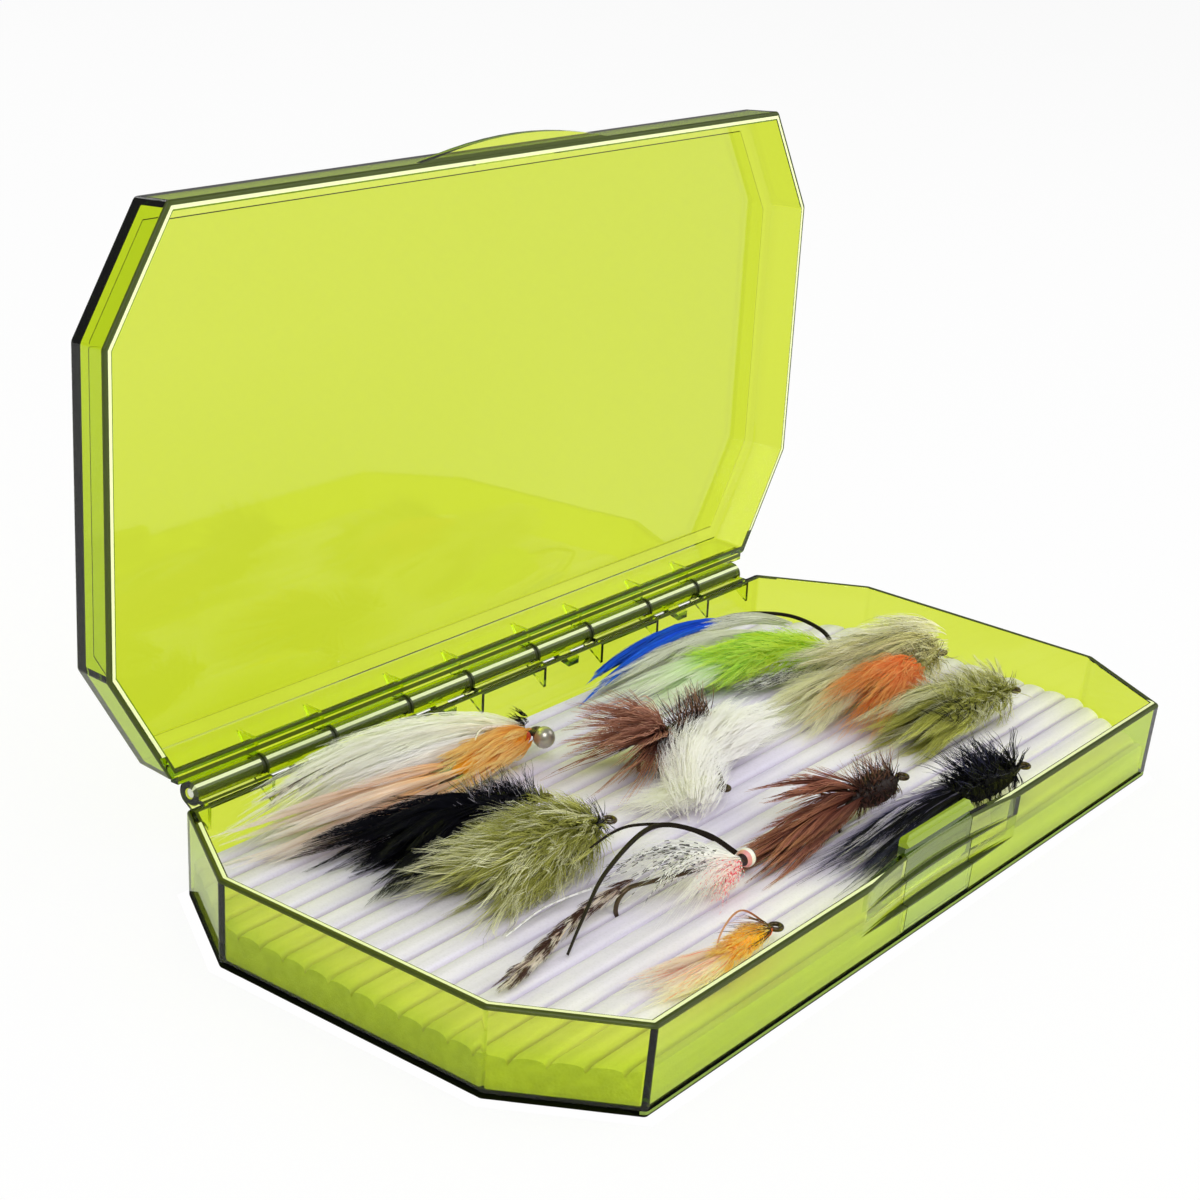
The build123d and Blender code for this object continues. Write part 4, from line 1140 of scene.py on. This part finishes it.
def make_baitfish(dye):
    """Green fur that pales towards its tail, a blue wing and a dark quill over it."""
    eye, root = (70, 17.5, 12), (46, 27, 12)
    dressed("baitfish_dressing", ["baitfish_body", "baitfish_flank"], [
        (dye["green"], [(70, 18, 12), (58, 23, 13), (44, 28.5, 12)],
         sized(FLUFF, fibres=1800, tip_width=7.0, tip_height=5.5, core=2.2, reach_low=0.2,
               reach_high=0.6, thick=0.15, seed=91)),
        (dye["green"], [(66, 21, 13), (52, 28, 13.4), (28, 31, 11)],
         sized(SLEEK, fibres=1000, wisps=70, tip_width=7.0, tip_height=3.4, root_width=2.4,
               root_height=1.8, start_high=0.3, reach_low=0.3, reach_high=0.7, thick=0.16,
               seed=92)),
        (dye["pale_green"], [(56, 26, 12.6), (38, 31, 12), (15, 33, 9.8)],
         sized(SLEEK, fibres=950, wisps=110, tip_width=6.5, tip_height=2.6, root_width=2.4,
               root_height=1.6, start_high=0.3, reach_low=0.4, reach_high=0.9, seed=93)),
        (dye["grey_olive"], [(62, 30, 14.5), (44, 37, 13.8), (17, 38, 10.5)],
         sized(SLEEK, fibres=800, wisps=90, tip_width=4.2, tip_height=2.4, start_high=0.3,
               reach_low=0.4, reach_high=0.9, thick=0.1, seed=94)),
        (dye["speckled"], [(68, 15.6, 11), (56, 18.5, 10.6), (40, 22.5, 9.6)],
         sized(SLEEK, fibres=170, wisps=50, steps=10, tip_width=1.8, tip_height=0.8,
               thick=0.15, seed=95)),
        thread_head(dye["thread"], eye, root)])
    dressed("baitfish_wing_hair", ["baitfish_wing"], [
        (dye["blue"], [(58, 38.2, 15.9), (44, 41.6, 15), (28, 42.4, 13), (12, 40.4, 10.6)],
         sized(SLEEK, fibres=1100, wisps=34, tip_width=2.3, tip_height=1.7, root_width=0.9,
               root_height=0.7, start_high=0.35, reach_low=0.4, reach_high=0.7, ease=0.6,
               sway=0.8, thick=0.18, seed=96)),
        (dye["quill"], [(70, 17.8, 12.4), (73.0, 22.5, 14.2), (71, 30, 16), (62, 36.4, 16.8),
                        (50, 40.6, 15.9)],
         sized(QUILL, thick=1.4)),
        (dye["grey_olive"], [(68, 27, 15.6), (62, 35, 16.2), (46, 41, 15)],
         sized(SLEEK, fibres=300, wisps=30, tip_width=1.4, tip_height=1.0, seed=97))])


def make_orange_streamer(dye):
    """Orange hair, a pale orange tail and a high white wing."""
    dressed("orange_streamer_dressing", ["orange_streamer_body"], [
        (dye["orange"], [(-13.0, 34, 12.8), (-26, 32.8, 13.6), (-46, 31.8, 12)],
         sized(SLEEK, fibres=1500, wisps=110, tip_width=4.4, tip_height=3.8, root_width=1.8,
               root_height=1.6, start_high=0.45, reach_low=0.25, reach_high=0.55, core=2.4,
               core_end=0.75, hollow=0.8, ease=0.6, seed=101)),
        thread_head(dye["orange_thread"], (-12.4, 34, 12.5), (-40, 31.5, 12.4), 1.2)])
    dressed("orange_streamer_plume", ["orange_streamer_tail"], [
        (dye["pale_orange"], [(-34, 32, 12.6), (-58, 35.6, 12), (-85, 41.4, 9.4)],
         sized(SLEEK, fibres=1600, wisps=90, tip_width=4.6, tip_height=4.0, root_width=2.8,
               root_height=2.4, start_high=0.35, reach_low=0.3, reach_high=0.8, thick=0.13,
               seed=102)),
        (dye["rust"], [(-36, 33, 13), (-58, 36.6, 12.4), (-76, 40.4, 10)],
         sized(SLEEK, fibres=60, wisps=20, tip_width=3.6, tip_height=1.6, start_high=0.5,
               reach_low=0.2, reach_high=0.5, thick=0.12, seed=107))])
    dressed("orange_streamer_wing_hair", ["orange_streamer_wing"], [
        (dye["white_green"], [(-13.5, 35, 14), (-31, 39.4, 17.4), (-54, 42.6, 17.0),
                              (-80, 43.2, 13.0)],
         sized(SLEEK, fibres=1700, wisps=240, tip_width=3.4, tip_height=5.5, root_width=0.9,
               root_height=0.9, start_high=0.35, reach_low=0.2, reach_high=0.8, ease=0.8,
               hollow=0.0, thick=0.1, seed=103)),
        (dye["cream"], [(-17, 34.8, 14.2), (-38, 37.6, 14.9), (-66, 41.2, 13.2)],
         sized(SLEEK, fibres=520, wisps=90, tip_width=3.0, tip_height=3.2, root_width=1.2,
               root_height=1.2, start_high=0.45, reach_low=0.3, reach_high=0.7, hollow=0.0,
               thick=0.12, seed=108)),
        (dye["grizzly"], [(-50, 43.4, 17), (-62, 44.4, 16), (-76, 44.6, 14)],
         sized(FEATHER, fibres=300, wisps=60, tip_width=1.6, tip_height=1.4, seed=104)),
        (dye["flash"], [(-17, 34.6, 15), (-27, 34, 17.6), (-33, 30.6, 13)],
         sized(STRANDS, fibres=2, wisps=2, sway=0.2, seed=105)),
        (dye["black"], [(-12.5, 35, 15), (-17, 36, 17)],
         sized(HACKLE, fibres=50, tip_width=1.8, tip_height=1.8, angle_low=0.0,
               angle_high=1.0, start_high=0.3, reach_low=0.3, reach_high=0.9, seed=106))])


def make_flies():
    dye = make_dyes()
    make_scud(dye)
    make_black_bugger(dye)
    make_brown_bugger(dye)
    make_olive_streamer(dye)
    make_tan_streamer(dye)
    make_white_fly(dye)
    make_rust_fly(dye)
    make_olive_bugger(dye)
    make_black_marabou(dye)
    make_grizzly_fly(dye)
    make_baitfish(dye)
    make_orange_streamer(dye)


# ---- floor, light and camera -------------------------------------------------------------
FLOOR_HALF = 3.0       # metres
FLOOR_MARGIN = 1.2 * MM
GLOW_SHARE = 0.9       # of the floor's white that doesn't depend on the lamps
ROOM = 0.5             # the room's strength on all that it lights
GLOSSY_ROOM = 0.22     # and in reflections: low, so that edges stay dark


def backdrop_ways(graph):
    """1 for rays from the camera or through clear surfaces, 0 for all others."""
    ways = graph.add("ShaderNodeLightPath").outputs
    return graph.most(ways["Is Camera Ray"], ways["Is Transmission Ray"])


def painted_shadow_under_case(graph):
    """1 on the floor under the case's octagon and just round it, where a shadow is painted; 0
    elsewhere.
    """
    where = graph.place()
    spot = graph.axes(where)
    return graph.math("GREATER_THAN", octagon_depth(graph, spot["X"], spot["Y"]), -FLOOR_MARGIN)


def make_floor():
    """A white floor, with a shadow painted under the case for the rays that come through it."""
    data = bpy.data.meshes.new("floor")
    corners = [(x * FLOOR_HALF, y * FLOOR_HALF, 0)
               for x, y in ((-1, -1), (1, -1), (1, 1), (-1, 1))]
    data.from_pydata(corners, [], [(0, 1, 2, 3)])
    material, graph, shader = new_material("floor_white", Roughness=0.9)
    # painted shadow: dark floor under the case, without the floor's glow for rays through the
    # case
    shadow_mask = painted_shadow_under_case(graph)
    graph.feed(shader.inputs["Base Color"],
               graph.colours(shadow_mask, rgb(0.95, 0.95, 0.95), rgb(0.02, 0.02, 0.02)))
    glow = graph.add("ShaderNodeEmission", {"Color": rgb(1, 1, 1), "Strength": 1.0})
    ways = graph.add("ShaderNodeLightPath").outputs
    through = graph.times(ways["Is Transmission Ray"], graph.minus(1.0, shadow_mask))
    share = graph.times(through, GLOW_SHARE)
    bare = graph.blend(shadow_mask, GLOW_SHARE, 1.0)
    share = graph.most(share, graph.times(ways["Is Camera Ray"], bare))
    mixed = graph.add("ShaderNodeMixShader", {0: share, 1: shader.outputs[0],
                                              2: glow.outputs[0]})
    graph.feed(material.node_tree.nodes["Material Output"].inputs["Surface"], mixed.outputs[0])
    data.materials.append(material)
    add_object("floor", data)


def make_world():
    """An even white room, dimmer in reflections and pure white behind the case."""
    world = bpy.data.worlds.new("studio")
    world.use_nodes = True
    tree = world.node_tree
    graph = Graph(tree)
    lit = tree.nodes["Background"]
    lit.inputs["Color"].default_value = rgb(1, 1, 1)
    seen = graph.add("ShaderNodeBackground", {"Color": rgb(1, 1, 1), "Strength": 1.0})
    shiny = graph.add("ShaderNodeLightPath").outputs["Is Glossy Ray"]
    graph.feed(lit.inputs["Strength"], graph.blend(shiny, ROOM, GLOSSY_ROOM))
    mixed = graph.add("ShaderNodeMixShader", {0: backdrop_ways(graph), 1: lit.outputs[0],
                                              2: seen.outputs[0]})
    graph.feed(tree.nodes["World Output"].inputs["Surface"], mixed.outputs[0])
    bpy.context.scene.world = world


LAMPS_AIM = (0, 0, 0.03)


def add_lamp(name, at, width, power):
    data = bpy.data.lights.new(name, "AREA")
    data.shape = "DISK"
    data.size = width
    data.energy = power
    lamp = add_object(name, data)
    lamp.location = at
    lamp.rotation_euler = (Vector(LAMPS_AIM) - Vector(at)).to_track_quat("-Z", "Y").to_euler()
    return lamp


def make_lamps():
    add_lamp("key_lamp", (-0.6, -0.5, 1.0), 0.7, 6.0)
    add_lamp("fill_lamp", (0.9, -0.6, 0.8), 0.8, 3.0)
    add_lamp("back_lamp", (0.2, 1.0, 0.9), 0.7, 2.5)
    low = add_lamp("low_lamp", (0.45, -1.1, 0.2), 0.6, 5.0)
    low.visible_glossy = False     # it would glare off the shut lid


CAMERA_AT = (-337.24 * MM, -211.30 * MM, 193.98 * MM)
CAMERA_AZIMUTH = -54.495       # degrees, from -Y towards -X
CAMERA_ELEVATION = 20.658
CAMERA_ROLL = 4.811
CAMERA_LENS = 70.63


def make_camera():
    data = bpy.data.cameras.new("camera")
    data.sensor_width = 36.0
    data.sensor_fit = "HORIZONTAL"
    data.lens = CAMERA_LENS
    data.clip_start = 0.01
    camera = add_object("camera", data)
    turn = Euler((math.radians(90 - CAMERA_ELEVATION), 0, math.radians(CAMERA_AZIMUTH)))
    roll = Matrix.Rotation(math.radians(CAMERA_ROLL), 3, "Z")
    camera.matrix_world = Matrix.Translation(CAMERA_AT) @ (turn.to_matrix() @ roll).to_4x4()
    bpy.context.scene.camera = camera


# ---- the whole ---------------------------------------------------------------------------
CLEAR_BOUNCES = 24     # light crosses many clear walls
FIBRE_BOUNCES = 16     # and many strands


def dress_case():
    """The finishes of the CAD nodes that stay."""
    clear = tinted_plastic("tinted_plastic", PLASTIC_TINT)
    repaint("base_tray", clear)
    repaint("lid_shell", clear)
    repaint("latch_tongue",
            tinted_plastic("tongue_plastic", TONGUE_TINT, TONGUE_CLEAR, TONGUE_LIGHT_AND_SHADE_BANDS))
    repaint("hinge_pin", pin_steel())
    repaint("orange_streamer_eyes", bead_eyes())
    repaint("grizzly_fly_bead", ringed_bead())
    bronze = hook_bronze()
    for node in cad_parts:
        if node.endswith("_hook"):
            repaint(node, bronze)


def repaint(node, material):
    """Gives a CAD node its finish."""
    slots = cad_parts[node].data.materials
    slots.clear()
    slots.append(material)


make_camera()
make_world()
make_lamps()
make_floor()
dress_case()
make_foam_pad()
make_flies()
bpy.context.scene.view_settings.view_transform = "Standard"
bpy.context.scene.cycles.max_bounces = CLEAR_BOUNCES
bpy.context.scene.cycles.transmission_bounces = CLEAR_BOUNCES
bpy.context.scene.cycles.diffuse_bounces = FIBRE_BOUNCES
